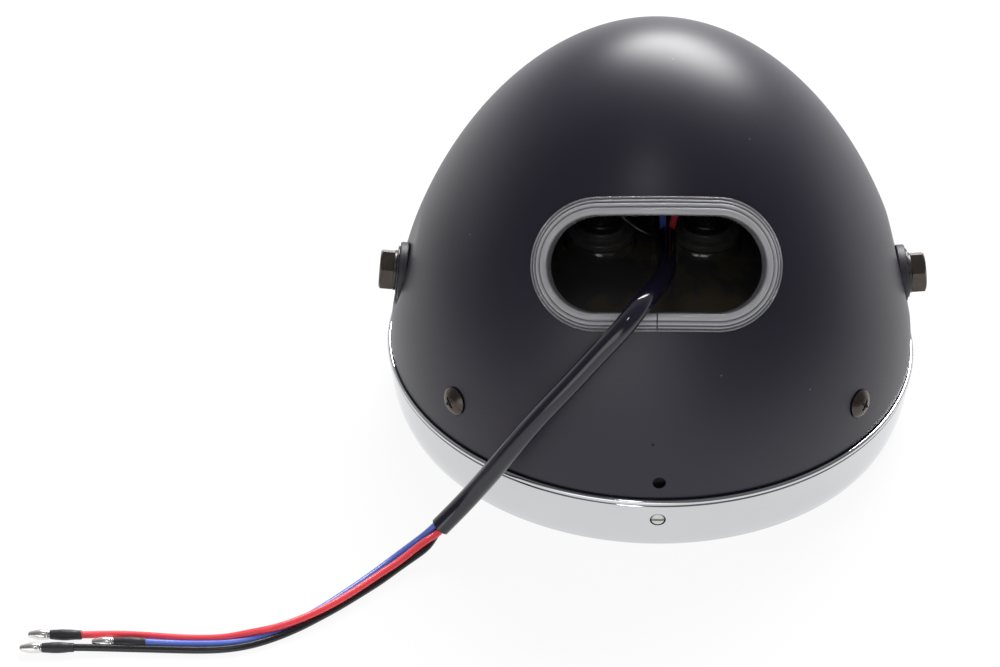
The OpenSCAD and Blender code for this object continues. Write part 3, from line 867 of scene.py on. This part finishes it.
# The rim: a pressed ring with a rolled bead, a tapered side, a rounded front edge and a lip
rimForm = {  # in millimetres; each bend has its start, its control point and its end
    "radius": 92.3,
    "beadRadius": 1.0,
    "beadCentre": (91.7, 20.8),
    "neck": [(91.85, 19.7), (91.95, 19.5)],  # the groove under the bead
    "side": [(92.3, 19.3), (91.7, 6), (89.35, 1.6)],
    "edge": [(89.35, 1.6), (89.0, 0.0), (87.6, 0.0)],
    "lip": [(85.6, 0.0), (84.2, 0.05), (83.2, 1.6)],
    "sheet": 1.0,
    "inside": [(84.1, 2.3), (85.0, 1.25), (87.3, 1.0), (88.1, 1.5), (88.4, 2.4)],
    "turns": 300,
}


def bend(first, control, last, steps):
    ts = [i / steps for i in range(steps + 1)]
    return [tuple(a * (1 - t) ** 2 + 2 * b * t * (1 - t) + c * t * t for a, b, c in zip(first, control, last))
            for t in ts]


def makeRim():
    form = rimForm
    side = bend(*form["side"], 14)
    edge = bend(*form["edge"], 6)[1:]
    inner = [(r - form["sheet"], z) for r, z in reversed(side[:-3])]
    bead = arc(form["beadCentre"], form["beadRadius"], 262, -70, 28) + form["neck"]
    rim = latheMm("rim", side + edge + bend(*form["lip"], 6) + form["inside"] + inner + bead, form["turns"])
    hole = bore("rimCut", holeForm["rimHole"], -6 * mm, 6 * mm)
    return shadeSmooth(boolean(rim, moved(hole, clampPlace(form["radius"] * mm))), 40)


rim = makeRim()
print("rim made:", len(rim.data.polygons), "faces")


# Fasteners, each modelled once with Z outward and seated on the shell by the tree below
def seatTree():
    graph, given = newGeometryTree("seatOnShell", {
        "Part": "Object", "Surface": "Object", "Turn": "Float", "Height": "Float", "Material": "Material",
    })
    g = given.other
    points = graph.node("GeometryNodeMeshLine", {"Count": 2})
    side = graph.node("GeometryNodeInputIndex") * 2 - 1
    angle = side * g("Turn")
    outward = graph.join(graph.maths("SINE", angle), graph.maths("COSINE", angle) * -1, 0.0)
    hit = graph.node("GeometryNodeRaycast", {
        "Target Geometry": graph.meshOf(g("Surface")), "Source Position": graph.join(0.0, 0.0, g("Height")),
        "Ray Direction": outward, "Ray Length": 1.0}, "Hit Position")
    normal = hit.other("Hit Normal")
    seated = graph.node("GeometryNodeSetPosition", {"Geometry": points, "Position": hit})
    level = graph.vector("CROSS_PRODUCT", (0, 0, 1), normal)
    turned = graph.node("FunctionNodeAlignRotationToVector", {"Vector": normal}, axis="Z")
    turned = graph.node("FunctionNodeAlignRotationToVector", {"Rotation": turned, "Vector": level},
                        axis="X", pivot_axis="Z")
    copies = graph.node("GeometryNodeInstanceOnPoints", {
        "Points": seated, "Instance": graph.meshOf(g("Part")), "Rotation": turned})
    return endTree(graph, copies, g("Material"))


seatGraph = seatTree()


def seatOnShell(name, part, turn, height, material):
    made = runTree(seatGraph, name, {
        "Part": part, "Surface": shellSurface, "Turn": math.radians(turn), "Height": height,
        "Material": material})
    bpy.data.objects.remove(part)
    return shadeSmooth(made, 35)


boltForm = {  # in millimetres
    "acrossFlats": 13,
    "headHeight": 4.9,
    "cornerBevel": 0.25,
    "shank": 8,
    "shankLength": 18,
    "pitch": 1.25,
    "threadDepth": 0.6,
    "plain": 6,  # the shank's smooth part under the head
    "spacer": (20, 8.8, 3.0),  # outer and inner diameter, and thickness
    "plainWasher": (17, 8.4, 0.8),
    "springWasher": (14, 8.3, 1.0),
    "play": 0.05,
    "springGap": 0.9,
    "springTurn": -30,
    "springSlant": 35,
}


def roundedWasher(name, size, start, edge):
    outer, inner, thick = size[0] / 2, size[1] / 2, size[2] - boltForm["play"]
    end, bevel = start + thick, 0.2
    section = arc((outer - edge, start + edge), edge, -90, 0, 4) + arc((outer - edge, end - edge), edge, 0, 90, 4)
    section += [(inner + bevel, end), (inner, end - bevel), (inner, start + bevel), (inner + bevel, start)]
    return latheMm(name, section, 72)


def springWasherPart(start):
    form = boltForm
    thick = form["springWasher"][2] - form["play"]
    part = roundedWasher("springWasherPart", form["springWasher"], start, 0.15)
    half = form["springGap"] / 2 * mm
    cut = box("springCut", (-3 * mm, -half, -3 * mm), (3 * mm, half, 3 * mm))
    place = (Matrix.Rotation(math.radians(form["springTurn"]), 4, "Z")
             @ Matrix.Translation((5.5 * mm, 0, (start + thick / 2) * mm))
             @ Matrix.Rotation(math.radians(form["springSlant"]), 4, "X"))
    return boolean(part, moved(cut, place))


def boltPart(seat):
    form = boltForm
    flat = form["acrossFlats"] / 2
    corner = flat / math.cos(math.radians(30)) * mm
    corners = [math.radians(60 * k + 30) for k in range(6)]
    outline = [(corner * math.cos(a), corner * math.sin(a)) for a in corners]
    top, bottom = seat + form["headHeight"], seat - form["shankLength"]
    head = prism("boltPart", outline, seat * mm, top * mm)
    work = bmesh.new()
    work.from_mesh(head.data)
    upright = [e for e in work.edges if abs(e.verts[0].co.z - e.verts[1].co.z) > 1 * mm]
    bmesh.ops.bevel(work, geom=upright, offset=form["cornerBevel"] * mm, segments=3, profile=0.6,
                    affect="EDGES")
    work.to_mesh(head.data)
    work.free()
    crown = [(0, seat - 1), (flat + 0.9, seat - 1), (flat + 1.0, seat + 0.25), (flat + 1.6, seat + 0.7),
             (flat + 1.6, top - 1.15), (flat + 0.1, top - 0.28), (flat - 0.25, top - 0.08), (flat - 0.6, top),
             (0, top)]
    boolean(head, latheMm("crown", crown), "INTERSECT")
    r, pitch, z = form["shank"] / 2, form["pitch"], bottom + 0.9
    crest, root = r - 0.02, r - form["threadDepth"]
    thread = [(0, seat + 0.3), (0, bottom), (r - 1.2, bottom), (r - 0.3, z)]
    while z < seat - form["plain"]:
        thread += [(root, z + 0.1), (crest, z + pitch / 2), (crest, z + pitch / 2 + 0.1)]
        z += pitch
    thread += [(crest, z), (crest, seat + 0.3)]
    return joined("boltPart", [head, latheMm("shankPart", thread, 40)])


screwForm = {  # in millimetres
    "headRadius": 4.8,
    "domeRadius": 7.0,
    "domeHeight": 2.4,
    "recessReach": 2.5,
    "recessWidth": 0.95,
    "recessDepth": 1.5,
    "recessTip": [(0, -2.0), (0.85, -1.0), (0.95, 0), (0, 0)],
    "narrowing": (0.45, 0.7),  # the wings' length and width at the bottom
    "shank": 5,
    "reach": 10.6,
    "pitch": 0.8,
    "threadDepth": 0.4,
    "plain": -2.4,  # the thread ends here
}


# A cross recess: four tapered wings round a pointed middle
def crossCutter(top):
    form = screwForm
    reach, half, deep = form["recessReach"] * mm, form["recessWidth"] / 2 * mm, form["recessDepth"] * mm
    shorter, narrower = form["narrowing"]
    signs = [(-1, -1), (1, -1), (1, 1), (-1, 1)]
    wings = [(x * reach, y * half, top) for x, y in signs]
    wings += [(x * reach * shorter, y * half * narrower, top - deep) for x, y in signs]
    faces = [(0, 1, 2, 3), (7, 6, 5, 4), (0, 4, 5, 1), (1, 5, 6, 2), (2, 6, 7, 3), (3, 7, 4, 0)]
    parts = [moved(closeMesh(meshObject("wing", wings, faces)), Matrix.Rotation(math.radians(turn), 4, "Z"))
             for turn in (45, 135)]
    tip = lathe("tip", [(r * mm, top + z * mm) for r, z in form["recessTip"]], 24)
    return boolean(boolean(*parts, "UNION"), tip, "UNION")


def caseScrewPart():
    form = screwForm
    middle = form["domeHeight"] - form["domeRadius"]
    edge = math.degrees(math.asin((0.5 - middle) / form["domeRadius"]))
    dome = arc((0, middle), form["domeRadius"], edge, 90, 14)
    section = [(0, 0.05), (form["headRadius"] - 0.15, 0.05), (form["headRadius"], 0.2)] + dome
    head = latheMm("caseScrewPart", section, 72)
    boolean(head, crossCutter((form["domeHeight"] + 0.2) * mm))
    r, reach = form["shank"] / 2, form["reach"]
    crest, root, z = r - 0.02, r - form["threadDepth"], -reach + 0.6
    thread = [(0, 0.3), (0, -reach), (r - 0.9, -reach), (root, z)]
    while z < form["plain"]:
        thread += [(root, z + 0.08), (crest, z + form["pitch"] / 2), (crest, z + form["pitch"] / 2 + 0.08)]
        z += form["pitch"]
    thread += [(crest, z), (crest, 0.3)]
    return joined("caseScrewPart", [head, latheMm("shankPart", thread, 32)])


rimScrewForm = {  # distances from the part's axis, in millimetres
    "section": [(0, 84), (1.5, 84), (1.5, 90.7), (2.05, 90.7), (2.2, 90.9), (2.2, 91.5), (2.05, 91.75),
                (1.3, 91.95), (0, 92.0)],
    "slotWidth": 0.9,
    "slotBottom": 90.95,
}


def rimScrewPiece():
    screw = latheMm("rimScrew", rimScrewForm["section"], 64)
    half = rimScrewForm["slotWidth"] / 2 * mm
    slot = box("slotCut", (-3 * mm, -half, rimScrewForm["slotBottom"] * mm), (3 * mm, half, 93 * mm))
    return shadeSmooth(moved(boolean(screw, slot), clampPlace(0)), 35)


# Lamp unit, in millimetres: two reflector bowls run together, holders, caps, bulbs and the front glass
lampForm = {
    "bulbX": 18.0,
    "bowlTop": 60.0,
    "focus": 28.0,
    "bowlBlend": 1.6,  # how softly the two bowls meet, and then the bowls and the flange
    "backBlend": 1.2,
    "frontBlend": 1.0,
    "wall": 2.0,
    "flangeHeight": 7.1,
    "flangeThick": 1.6,
    "outerRadius": 86.8,
    "bowlRadius": 79.0,
    "seatHole": 10.0,
    "seatTop": 63.0,
    "seat": [(0, 52), (13.0, 52), (13.0, 59.5), (12.7, 61.2), (12.2, 61.9), (12.0, 62.6), (11.6, 63), (0, 63)],
    "rib": ((-1.2, -10, 50), (1.2, 28, 61)),
    "ribEdge": 0.5,
    "turns": 144,
    "rings": 56,
    "lensEdge": 2.7,
    "lensThick": 3.0,
    "lensSag": 1.6,
    "openingRadius": 83.2,
    "ribPitch": 5.0,
    "fluteDepth": 0.45,
    "fluteWave": 0.25,
    "lensTurns": 180,
    "lensRings": 60,
}
# Radius and height over the seat of the holders and of the caps, and over the bulbs' bases
holderSection = ([(0, 0), (11.2, 0), (11.5, 0.3)] + arc((11.1, 2.0), 0.4, 0, 90, 3) + [(9.2, 2.4), (8.85, 2.6)]
                 + arc((8.35, 4.6), 0.4, 0, 90, 3) + [(0, 5.0)])
capSection = ([(0, 0), (8.0, 0), (8.2, 0.3), (8.2, 2.3), (7.9, 2.9), (7.0, 3.4), (6.8, 4.0), (6.8, 7.0),
               (6.55, 7.3), (6.55, 7.7), (6.8, 8.0), (6.8, 14.0)] + arc((4.0, 14.0), 2.8, 10, 75, 5)
              + [(4.0, 17.2), (0, 17.6)])
bulbSection = ([(0, 3), (9.8, 3), (9.8, -8), (9.4, -8.4), (6.2, -8.6), (6.0, -9.4), (6.0, -38)]
               + arc((0, -38), 6, -10, -80, 7) + [(0, -44)])


# The larger of two heights, where one turns softly into the other
def softMax(high, low, blend):
    return blend * math.log(math.exp((high - low) / blend) + 1) + low if high < low + 30 else high


def bowlHeight(x, y, top, focus):
    blend = lampForm["bowlBlend"]
    heights = [top - ((x - side * lampForm["bulbX"]) ** 2 + y ** 2) / (4 * focus) for side in (-1, 1)]
    return blend * math.log(sum(math.exp(height / blend) for height in heights))


def overBulb(piece, side):
    return moved(piece, Matrix.Translation((side * lampForm["bulbX"] * mm, 0, 0)))


def ringAt(radius, count, height):
    return [(radius * math.cos(a), radius * math.sin(a), height(radius * math.cos(a), radius * math.sin(a)))
            for a in circle(count)]


def makeReflector():
    form = lampForm
    front, wall = form["flangeHeight"], form["wall"]
    back = front + form["flangeThick"]

    def outer(x, y):
        high = bowlHeight(x, y, form["bowlTop"] + wall, form["focus"] + 0.4)
        return softMax(high, back, form["backBlend"])

    def inner(x, y):
        return softMax(bowlHeight(x, y, form["bowlTop"], form["focus"]), front + 0.02, form["frontBlend"])

    radii = [form["bowlRadius"] * i / form["rings"] for i in range(1, form["rings"] + 1)]
    flange = [(form["bowlRadius"] + 0.2, front), (form["outerRadius"], front), (form["outerRadius"], back),
              (form["bowlRadius"] + wall + 0.4, back)]
    rows = [ringAt(r, form["turns"], inner) for r in radii]
    rows += [ringAt(r, form["turns"], lambda x, y, z=z: z) for r, z in flange]
    rows += [ringAt(r + wall * 0.98 * (r / form["bowlRadius"]), form["turns"], outer) for r in reversed(radii)]
    body = ringSolid("reflector", rows, (0, 0, inner(0, 0)), (0, 0, outer(0, 0)))
    for side in (-1, 1):
        boolean(body, overBulb(latheMm("seat", form["seat"], 72), side), "UNION")
    rib = box("rib", *inMetres(form["rib"]))
    rounded = rib.modifiers.new("soften", "BEVEL")
    rounded.width, rounded.segments = form["ribEdge"] * mm, 2
    boolean(body, applyModifiers(rib), "UNION")
    for side in (-1, 1):
        boolean(body, overBulb(bore("seatCut", 2 * form["seatHole"] * mm, 40 * mm, 80 * mm, 72), side))
    return shadeSmooth(body, 40)


def twoOf(name, section, base, sides=72):
    raised = [(r, base + z) for r, z in section]
    return shadeSmooth(joined(name, [overBulb(latheMm(name, raised, sides), side) for side in (-1, 1)]), 35)


# The front glass: almost flat, with upright flutes pressed into its inner side
def makeLens():
    form = lampForm

    def underside(x, y):
        return form["lensEdge"] - form["lensSag"] * max(0, 1 - (math.hypot(x, y) / form["openingRadius"]) ** 2)

    def fluted(x, y):
        fade = min(1, max(0, (form["openingRadius"] - 4 - math.hypot(x, y)) / 2))
        wave = 1 + form["fluteWave"] * math.cos(math.pi * y / 30)
        flute = form["fluteDepth"] * abs(math.sin(math.pi * x / form["ribPitch"])) * wave
        return underside(x, y) + form["lensThick"] - fade * flute

    radii = [form["outerRadius"] * (i / form["lensRings"]) for i in range(1, form["lensRings"] + 1)]
    rows = [ringAt(r, form["lensTurns"], underside) for r in radii]
    rows += [ringAt(r, form["lensTurns"], fluted) for r in reversed(radii)]
    return shadeSmooth(ringSolid("lens", rows, (0, 0, underside(0, 0)), (0, 0, fluted(0, 0))), 40)


# Finishes

def newFinish(name):
    material = bpy.data.materials.new(name)
    material.use_nodes = True
    material.node_tree.nodes.clear()
    graph = Graph(material.node_tree)
    return material, graph, graph.node("ShaderNodeTexCoord", output="Object")


def grain(graph, place, size, detail=2.0, output="Fac"):
    return graph.node("ShaderNodeTexNoise", {"Vector": place, "Scale": 1 / size, "Detail": detail}, output)


def between(value, low, high):  # a 0 to 1 value spread over a range
    return low + value * (high - low)


def bump(graph, height, distance, strength=1.0):
    return graph.node("ShaderNodeBump", {"Height": height, "Distance": distance, "Strength": strength})


def surface(graph, values):
    shader = graph.node("ShaderNodeBsdfPrincipled", values)
    graph.node("ShaderNodeOutputMaterial", {"Surface": shader})


# Small bright specks, where the cells of a Voronoi pattern that come up are closest to their points
def specks(graph, place, spacing, radius, share):
    cells = graph.node("ShaderNodeTexVoronoi", {"Vector": place, "Scale": 1 / spacing}, "Distance")
    chosen = graph.node("ShaderNodeSeparateColor", {"Color": cells.other("Color")}, "Red") < share
    return graph.maths("MULTIPLY", cells < radius / spacing, chosen)


def satinBlack():
    material, graph, place = newFinish("satinBlackPaint")
    cloud = grain(graph, place, 45 * mm, 3)
    peel = grain(graph, place, 0.9 * mm, 2)
    dust = specks(graph, place, 9 * mm, 0.16 * mm, 0.5)
    colour = graph.mixColour(cloud, (0.0075, 0.0058, 0.017, 1), (0.010, 0.0085, 0.021, 1))
    colour = graph.mixColour(dust, colour, (0.35, 0.35, 0.36, 1))
    surface(graph, {
        "Base Color": colour,
        "Roughness": between(cloud, 0.37, 0.43),
        "Normal": bump(graph, peel, 0.02 * mm, 0.35),
    })
    return material


def chromePlate():
    material, graph, place = newFinish("chromePlate")
    smear = grain(graph, place, 14 * mm, 4)
    dust = specks(graph, place, 5 * mm, 0.12 * mm, 0.3)
    surface(graph, {
        "Base Color": graph.mixColour(smear, (0.605, 0.615, 0.635, 1), (0.645, 0.655, 0.665, 1)),
        "Metallic": 1.0,
        "Roughness": between(smear, 0.05, 0.10) + dust * 0.3,
    })
    return material


def clearVinyl():
    material, graph, place = newFinish("clearVinyl")
    haze = grain(graph, place, 6 * mm, 3)
    lift = graph.node("ShaderNodeAttribute", output="Fac", attribute_name="lift")
    raised = graph.smoothStep(lift, 0.75 * mm, 1.65 * mm)  # painted highlight on the ridges and painted shade in the grooves
    surface(graph, {
        # the base colour is painted lighter where the section stands high (painted highlight) and darker in the
        # grooves (painted shade)
        "Base Color": graph.mixColour(raised, (0.34, 0.34, 0.37, 1), (0.96, 0.96, 1.0, 1)),
        "Roughness": between(haze, 0.05, 0.10),
        "IOR": 1.53,
        "Transmission Weight": 0.68,
        "Normal": bump(graph, grain(graph, place, 2.5 * mm, 2), 0.05 * mm, 0.3),
    })
    return material


def plated(name, dark, light, metallic, rough):
    material, graph, place = newFinish(name)
    patches = grain(graph, place, 3.5 * mm, 4)
    fine = grain(graph, place, 0.35 * mm, 3)
    surface(graph, {
        "Base Color": graph.mixColour(patches, dark, light),
        "Metallic": metallic,
        "Roughness": between(fine, rough - 0.07, rough + 0.07),
        "Normal": bump(graph, fine, 0.01 * mm, 0.4),
    })
    return material


def softRubber(name, dark, light, rough):
    material, graph, place = newFinish(name)
    fine = grain(graph, place, 0.5 * mm, 4)
    surface(graph, {
        "Base Color": graph.mixColour(grain(graph, place, 5 * mm, 2), dark, light),
        "Roughness": between(fine, rough - 0.06, rough + 0.06),
        "Normal": bump(graph, fine, 0.02 * mm, 0.5),
    })
    return material


def glossyVinyl(name, dark, light, rough, specular=0.5):
    material, graph, place = newFinish(name)
    streak = grain(graph, place, 4 * mm, 3)
    surface(graph, {
        "Base Color": graph.mixColour(streak, dark, light),
        "Roughness": between(streak, rough - 0.03, rough + 0.04),
        "Specular IOR Level": specular,
        "Normal": bump(graph, grain(graph, place, 1.6 * mm, 2), 0.02 * mm, 0.15),
    })
    return material


def darkLacquer():
    material, graph, place = newFinish("darkLacquer")
    patches = grain(graph, place, 13 * mm, 3)
    # warm olive metallic patches paint the glints on the reflector's back: painted reflection
    glintPatches = graph.smoothStep(patches, 0.46, 0.66)
    surface(graph, {
        "Base Color": graph.mixColour(glintPatches, (0.075, 0.073, 0.073, 1), (0.19, 0.160, 0.10, 1)),
        "Metallic": between(glintPatches, 0.1, 0.5),
        "Roughness": between(patches, 0.10, 0.24),
        "Coat Weight": 1.0,
        "Coat Roughness": 0.06,
        "Normal": bump(graph, grain(graph, place, 5 * mm, 2), 0.12 * mm, 0.3),
    })
    return material


def mirrorCoat():
    material, graph, place = newFinish("mirrorCoat")
    haze = grain(graph, place, 20 * mm, 3)
    surface(graph, {
        "Base Color": graph.mixColour(haze, (0.86, 0.87, 0.88, 1), (0.90, 0.90, 0.91, 1)),
        "Metallic": 1.0,
        "Roughness": between(haze, 0.03, 0.07),
    })
    return material


def clearGlass(name, tint, rough):
    material, graph, place = newFinish(name)
    haze = grain(graph, place, 10 * mm, 2)
    surface(graph, {
        "Base Color": graph.mixColour(haze, tint, (0.97, 0.98, 0.98, 1)),
        "Roughness": between(haze, rough, rough + 0.02),
        "IOR": 1.5,
        "Transmission Weight": 1.0,
    })
    return material


# Tinned brass, where the brass shows through in a few worn places
def tinnedBrass():
    material, graph, place = newFinish("tinnedBrass")
    worn = graph.smoothStep(grain(graph, place, 1.6 * mm, 4), 0.64, 0.78)
    surface(graph, {
        "Base Color": graph.mixColour(worn, (0.80, 0.79, 0.77, 1), (0.62, 0.50, 0.36, 1)),
        "Metallic": 1.0,
        "Roughness": between(grain(graph, place, 0.4 * mm, 3), 0.18, 0.34),
        "Normal": bump(graph, grain(graph, place, 0.8 * mm, 3), 0.04 * mm, 0.5),
    })
    return material


finishes = {
    "paint": satinBlack(),
    "chrome": chromePlate(),
    "vinyl": clearVinyl(),
    "bronze": plated("bronzedZinc", (0.050, 0.042, 0.037, 1), (0.105, 0.088, 0.077, 1), 0.85, 0.25),
    "blackZinc": plated("blackZinc", (0.035, 0.034, 0.038, 1), (0.075, 0.070, 0.070, 1), 0.7, 0.32),
    "zinc": plated("clearZinc", (0.55, 0.55, 0.54, 1), (0.68, 0.68, 0.66, 1), 1.0, 0.30),
    "rubber": softRubber("washerRubber", (0.016, 0.014, 0.022, 1), (0.026, 0.023, 0.034, 1), 0.50),
    "sealRubber": softRubber("sealRubber", (0.015, 0.015, 0.016, 1), (0.028, 0.028, 0.030, 1), 0.62),
    "capRubber": softRubber("capRubber", (0.010, 0.010, 0.011, 1), (0.020, 0.020, 0.022, 1), 0.28),
    "sleeve": glossyVinyl("sleeveVinyl", (0.008, 0.007, 0.015, 1), (0.011, 0.010, 0.020, 1), 0.07, 0.6),
    "red": glossyVinyl("redInsulation", (0.84, 0.055, 0.075, 1), (0.90, 0.070, 0.090, 1), 0.24),
    "blue": glossyVinyl("blueInsulation", (0.095, 0.16, 0.60, 1), (0.12, 0.19, 0.66, 1), 0.24),
    "black": glossyVinyl("blackInsulation", (0.010, 0.010, 0.012, 1), (0.016, 0.016, 0.019, 1), 0.26),
    "shrink": softRubber("heatShrink", (0.014, 0.013, 0.016, 1), (0.026, 0.024, 0.029, 1), 0.42),
    "tin": tinnedBrass(),
    "lacquer": darkLacquer(),
    "mirror": mirrorCoat(),
    "glass": clearGlass("lensGlass", (0.93, 0.97, 0.97, 1), 0.0),
    "bulbGlass": clearGlass("bulbGlass", (0.90, 0.92, 0.92, 1), 0.02),
    "holder": glossyVinyl("holderPlastic", (0.095, 0.094, 0.094, 1), (0.14, 0.135, 0.125, 1), 0.12, 0.8),
}
print("finishes made:", len(finishes))

finishPiece(shell, finishes["paint"], ["shell"], "black_paint")
finishPiece(trim, finishes["vinyl"], ["window_trim"], "clear_vinyl")
finishPiece(rim, finishes["chrome"], ["rim"], "chrome")
finishPiece(sleeve, finishes["sleeve"], ["cable_sleeve"], "sleeve_vinyl")
for colour, (wire, _, _) in wires.items():
    finishPiece(wire, finishes[colour], ["wire_" + colour], "wire_" + colour)
    finishPiece(leads[colour], finishes[colour], ["lead_" + colour], "wire_" + colour)
    finishPiece(boots[colour], finishes["shrink"], ["boot_" + colour], "heat_shrink")
    finishPiece(terminals[colour], finishes["tin"], ["terminal_" + colour], "tinned_brass")

# The stack under each bolt's head, from the shell outward
spacer, plain = boltForm["spacer"], boltForm["plainWasher"]
spacerTop, plainTop = spacer[2], spacer[2] + plain[2]
boltSeat = plainTop + boltForm["springWasher"][2]
spacerPart = roundedWasher("spacerPart", spacer, boltForm["play"], 0.5)
plainPart = roundedWasher("plainPart", plain, spacerTop, 0.25)
sideParts = [
    ("sideSpacers", spacerPart, "rubber", "spacer_washer", "seal_rubber"),
    ("plainWashers", plainPart, "blackZinc", "plain_washer", "dark_zinc"),
    ("springWashers", springWasherPart(plainTop), "blackZinc", "spring_washer", "dark_zinc"),
    ("sideBolts", boltPart(boltSeat), "bronze", "side_bolt", "dark_zinc"),
]
for name, part, finish, node, slot in sideParts:
    made = seatOnShell(name, part, 90, shellForm["seatHeight"], finishes[finish])
    finishPiece(made, None, bothSides(node), slot)
caseScrews = seatOnShell("caseScrews", caseScrewPart(), holeForm["caseTurn"], holeForm["caseHeight"],
                         finishes["bronze"])
finishPiece(caseScrews, None, bothSides("case_screw"), "dark_zinc")
finishPiece(rimScrewPiece(), finishes["zinc"], ["rim_screw"], "zinc")
print("fasteners seated")

reflector = makeReflector()
reflector.data.materials.clear()
reflector.data.materials.append(finishes["lacquer"])
reflector.data.materials.append(finishes["mirror"])
for face in reflector.data.polygons:  # the front side is the mirror
    x, y, z = face.center / mm
    within = z < lampForm["bowlTop"] + 0.5 and math.hypot(x, y) < lampForm["bowlRadius"] + 1
    if within and face.normal.z < -0.05:
        face.material_index = 1
finishPiece(reflector, None, ["reflector"], "reflector_plastic")
seatTop = lampForm["seatTop"]
holders = twoOf("bulbHolders", holderSection, seatTop + 0.05)
caps = twoOf("bulbCaps", capSection, seatTop + 5.1)
bulbs = twoOf("bulbs", bulbSection, lampForm["bowlTop"], 48)
finishPiece(holders, finishes["holder"], bothSides("bulb_holder"), "holder_plastic")
finishPiece(caps, finishes["capRubber"], bothSides("bulb_cap"), "seal_rubber")
finishPiece(bulbs, finishes["bulbGlass"], bothSides("bulb"), "bulb_glass")
finishPiece(makeLens(), finishes["glass"], ["lens"], "lens_glass")
bpy.data.objects.remove(shellSurface)
print("lamp unit made")

# CAD nodes that stay get their own finish
keptNodes = {
    "rim_nut": "zinc", "mounting_ring": "zinc", "lamp_clips": "zinc", "case_nut_left": "zinc",
    "case_nut_right": "zinc", "side_nut_left": "zinc", "side_nut_right": "zinc", "lens_seal": "sealRubber",
}
for node, finish in keptNodes.items():
    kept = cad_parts[node]
    kept.data.materials.clear()
    kept.data.materials.append(finishes[finish])

# Floor, light and surroundings. For glossy surfaces the room is white behind the object and near it,
# and darker to both sides of the camera.
studio = {
    "floorSize": 12.0,
    "floorDrop": 0.15 * mm,
    "floorGlow": 0.91,  # the floor's own white
    "floorTones": [(0.86, 0.86, 0.86, 1), (0.84, 0.84, 0.84, 1)],
    "farSides": 0.30,
    "nearFloor": (0.24, 0.55),  # how far from the object the floor is still white in reflections
    "frontSector": (0.66, 0.90),
    "frontShare": 0.85,
    "worldLight": 0.62,
    "roomDark": 0.16,
    "frontGlow": 2.1,
    "frontDirection": (-0.26, -0.96, 0.07),
    "frontWidth": (0.84, 0.97),
    "roomFade": 0.7,  # the white behind the object gets darker upward
    "lampAim": (0, -0.03, 0.08),
    "lamps": {  # place, width and height, watts and colour
        "backLamp": ((0.22, 0.88, 0.93), (1.20, 0.66), 33.0, (1.0, 1.0, 1.0)),
        "frontLamp": ((-0.10, -0.56, 0.95), (0.13, 0.13), 0.6, (0.93, 0.92, 1.0)),
    },
}


def rayKinds(graph):
    rays = graph.node("ShaderNodeLightPath", output="Is Camera Ray")
    return rays, rays.other("Is Glossy Ray"), rays.other("Is Transmission Ray")


def makeFloor():
    half = studio["floorSize"] / 2
    floor = meshObject("floor", [(-half, -half, 0), (half, -half, 0), (half, half, 0), (-half, half, 0)],
                       [(0, 1, 2, 3)])
    moved(floor, Matrix.Translation((0, 0, -studio["floorDrop"])))
    material, graph, place = newFinish("floorPaper")
    camera, glossy, through = rayKinds(graph)
    split = graph.split(place)
    away = graph.vector("LENGTH", place, output="Value")
    x, y, _ = studio["frontDirection"]
    toward = (split * x + split.other("Y") * y) / graph.maths("MAXIMUM", away, 0.01)
    near = 1 - graph.smoothStep(away, *studio["nearFloor"])
    front = graph.smoothStep(toward, *studio["frontSector"]) * studio["frontShare"]
    behind = graph.smoothStep(toward * -1, 0.0, 0.5)
    sides = studio["farSides"]
    far = sides + (1 - sides) * graph.maths("MAXIMUM", front, behind)
    mirrored = graph.maths("ADD", glossy, through, clamp=True) * graph.maths("MAXIMUM", near, far)
    seen = graph.maths("ADD", camera, mirrored, clamp=True)
    paper = graph.node("ShaderNodeBsdfPrincipled", {
        "Base Color": graph.mixColour(grain(graph, place, 3 * mm), *studio["floorTones"]),
        "Roughness": 1.0, "Specular IOR Level": 0.0})
    glow = graph.node("ShaderNodeEmission", {"Color": (1, 1, 1, 1), "Strength": seen})
    share = graph.maths("ADD", camera + through, glossy, clamp=True) * studio["floorGlow"]
    mixed = graph.node("ShaderNodeMixShader", {0: share, 1: paper, 2: glow})
    graph.node("ShaderNodeOutputMaterial", {"Surface": mixed})
    floor.data.materials.append(material)


def makeWorld():
    world = bpy.data.worlds.new("studio")
    bpy.context.scene.world = world
    world.use_nodes = True
    world.node_tree.nodes.clear()
    graph = Graph(world.node_tree)
    camera, glossy, through = rayKinds(graph)
    direction = graph.node("ShaderNodeTexCoord", output="Generated")
    split = graph.split(direction)
    behind = (graph.smoothStep(split.other("Y"), -0.1, 0.5)
              * (1 - studio["roomFade"] * graph.smoothStep(split.other("Z"), 0.0, 0.45)))
    aim = tuple(Vector(studio["frontDirection"]).normalized())
    front = graph.smoothStep(graph.vector("DOT_PRODUCT", direction, aim, "Value"), *studio["frontWidth"])
    dark = studio["roomDark"]
    room = dark + (1 - dark) * graph.maths("MAXIMUM", behind, front * studio["frontGlow"])
    mirrored = graph.maths("ADD", glossy, through, clamp=True)
    other = 1 - graph.maths("ADD", camera, mirrored, clamp=True)
    light = camera + mirrored * room + other * studio["worldLight"]
    glow = graph.node("ShaderNodeBackground", {"Color": (1, 1, 1, 1), "Strength": light})
    graph.node("ShaderNodeOutputWorld", {"Surface": glow})


def makeLamps():
    for name, (place, size, watts, colour) in studio["lamps"].items():
        data = bpy.data.lights.new(name, "AREA")
        data.shape = "ELLIPSE"
        data.size, data.size_y = size
        data.energy = watts
        data.color = colour
        lamp = addObject(name, data)
        lamp.location = place
        aim = Vector(studio["lampAim"]) - lamp.location
        lamp.rotation_euler = aim.to_track_quat("-Z", "Y").to_euler()


makeFloor()
makeWorld()
makeLamps()
print("studio made")
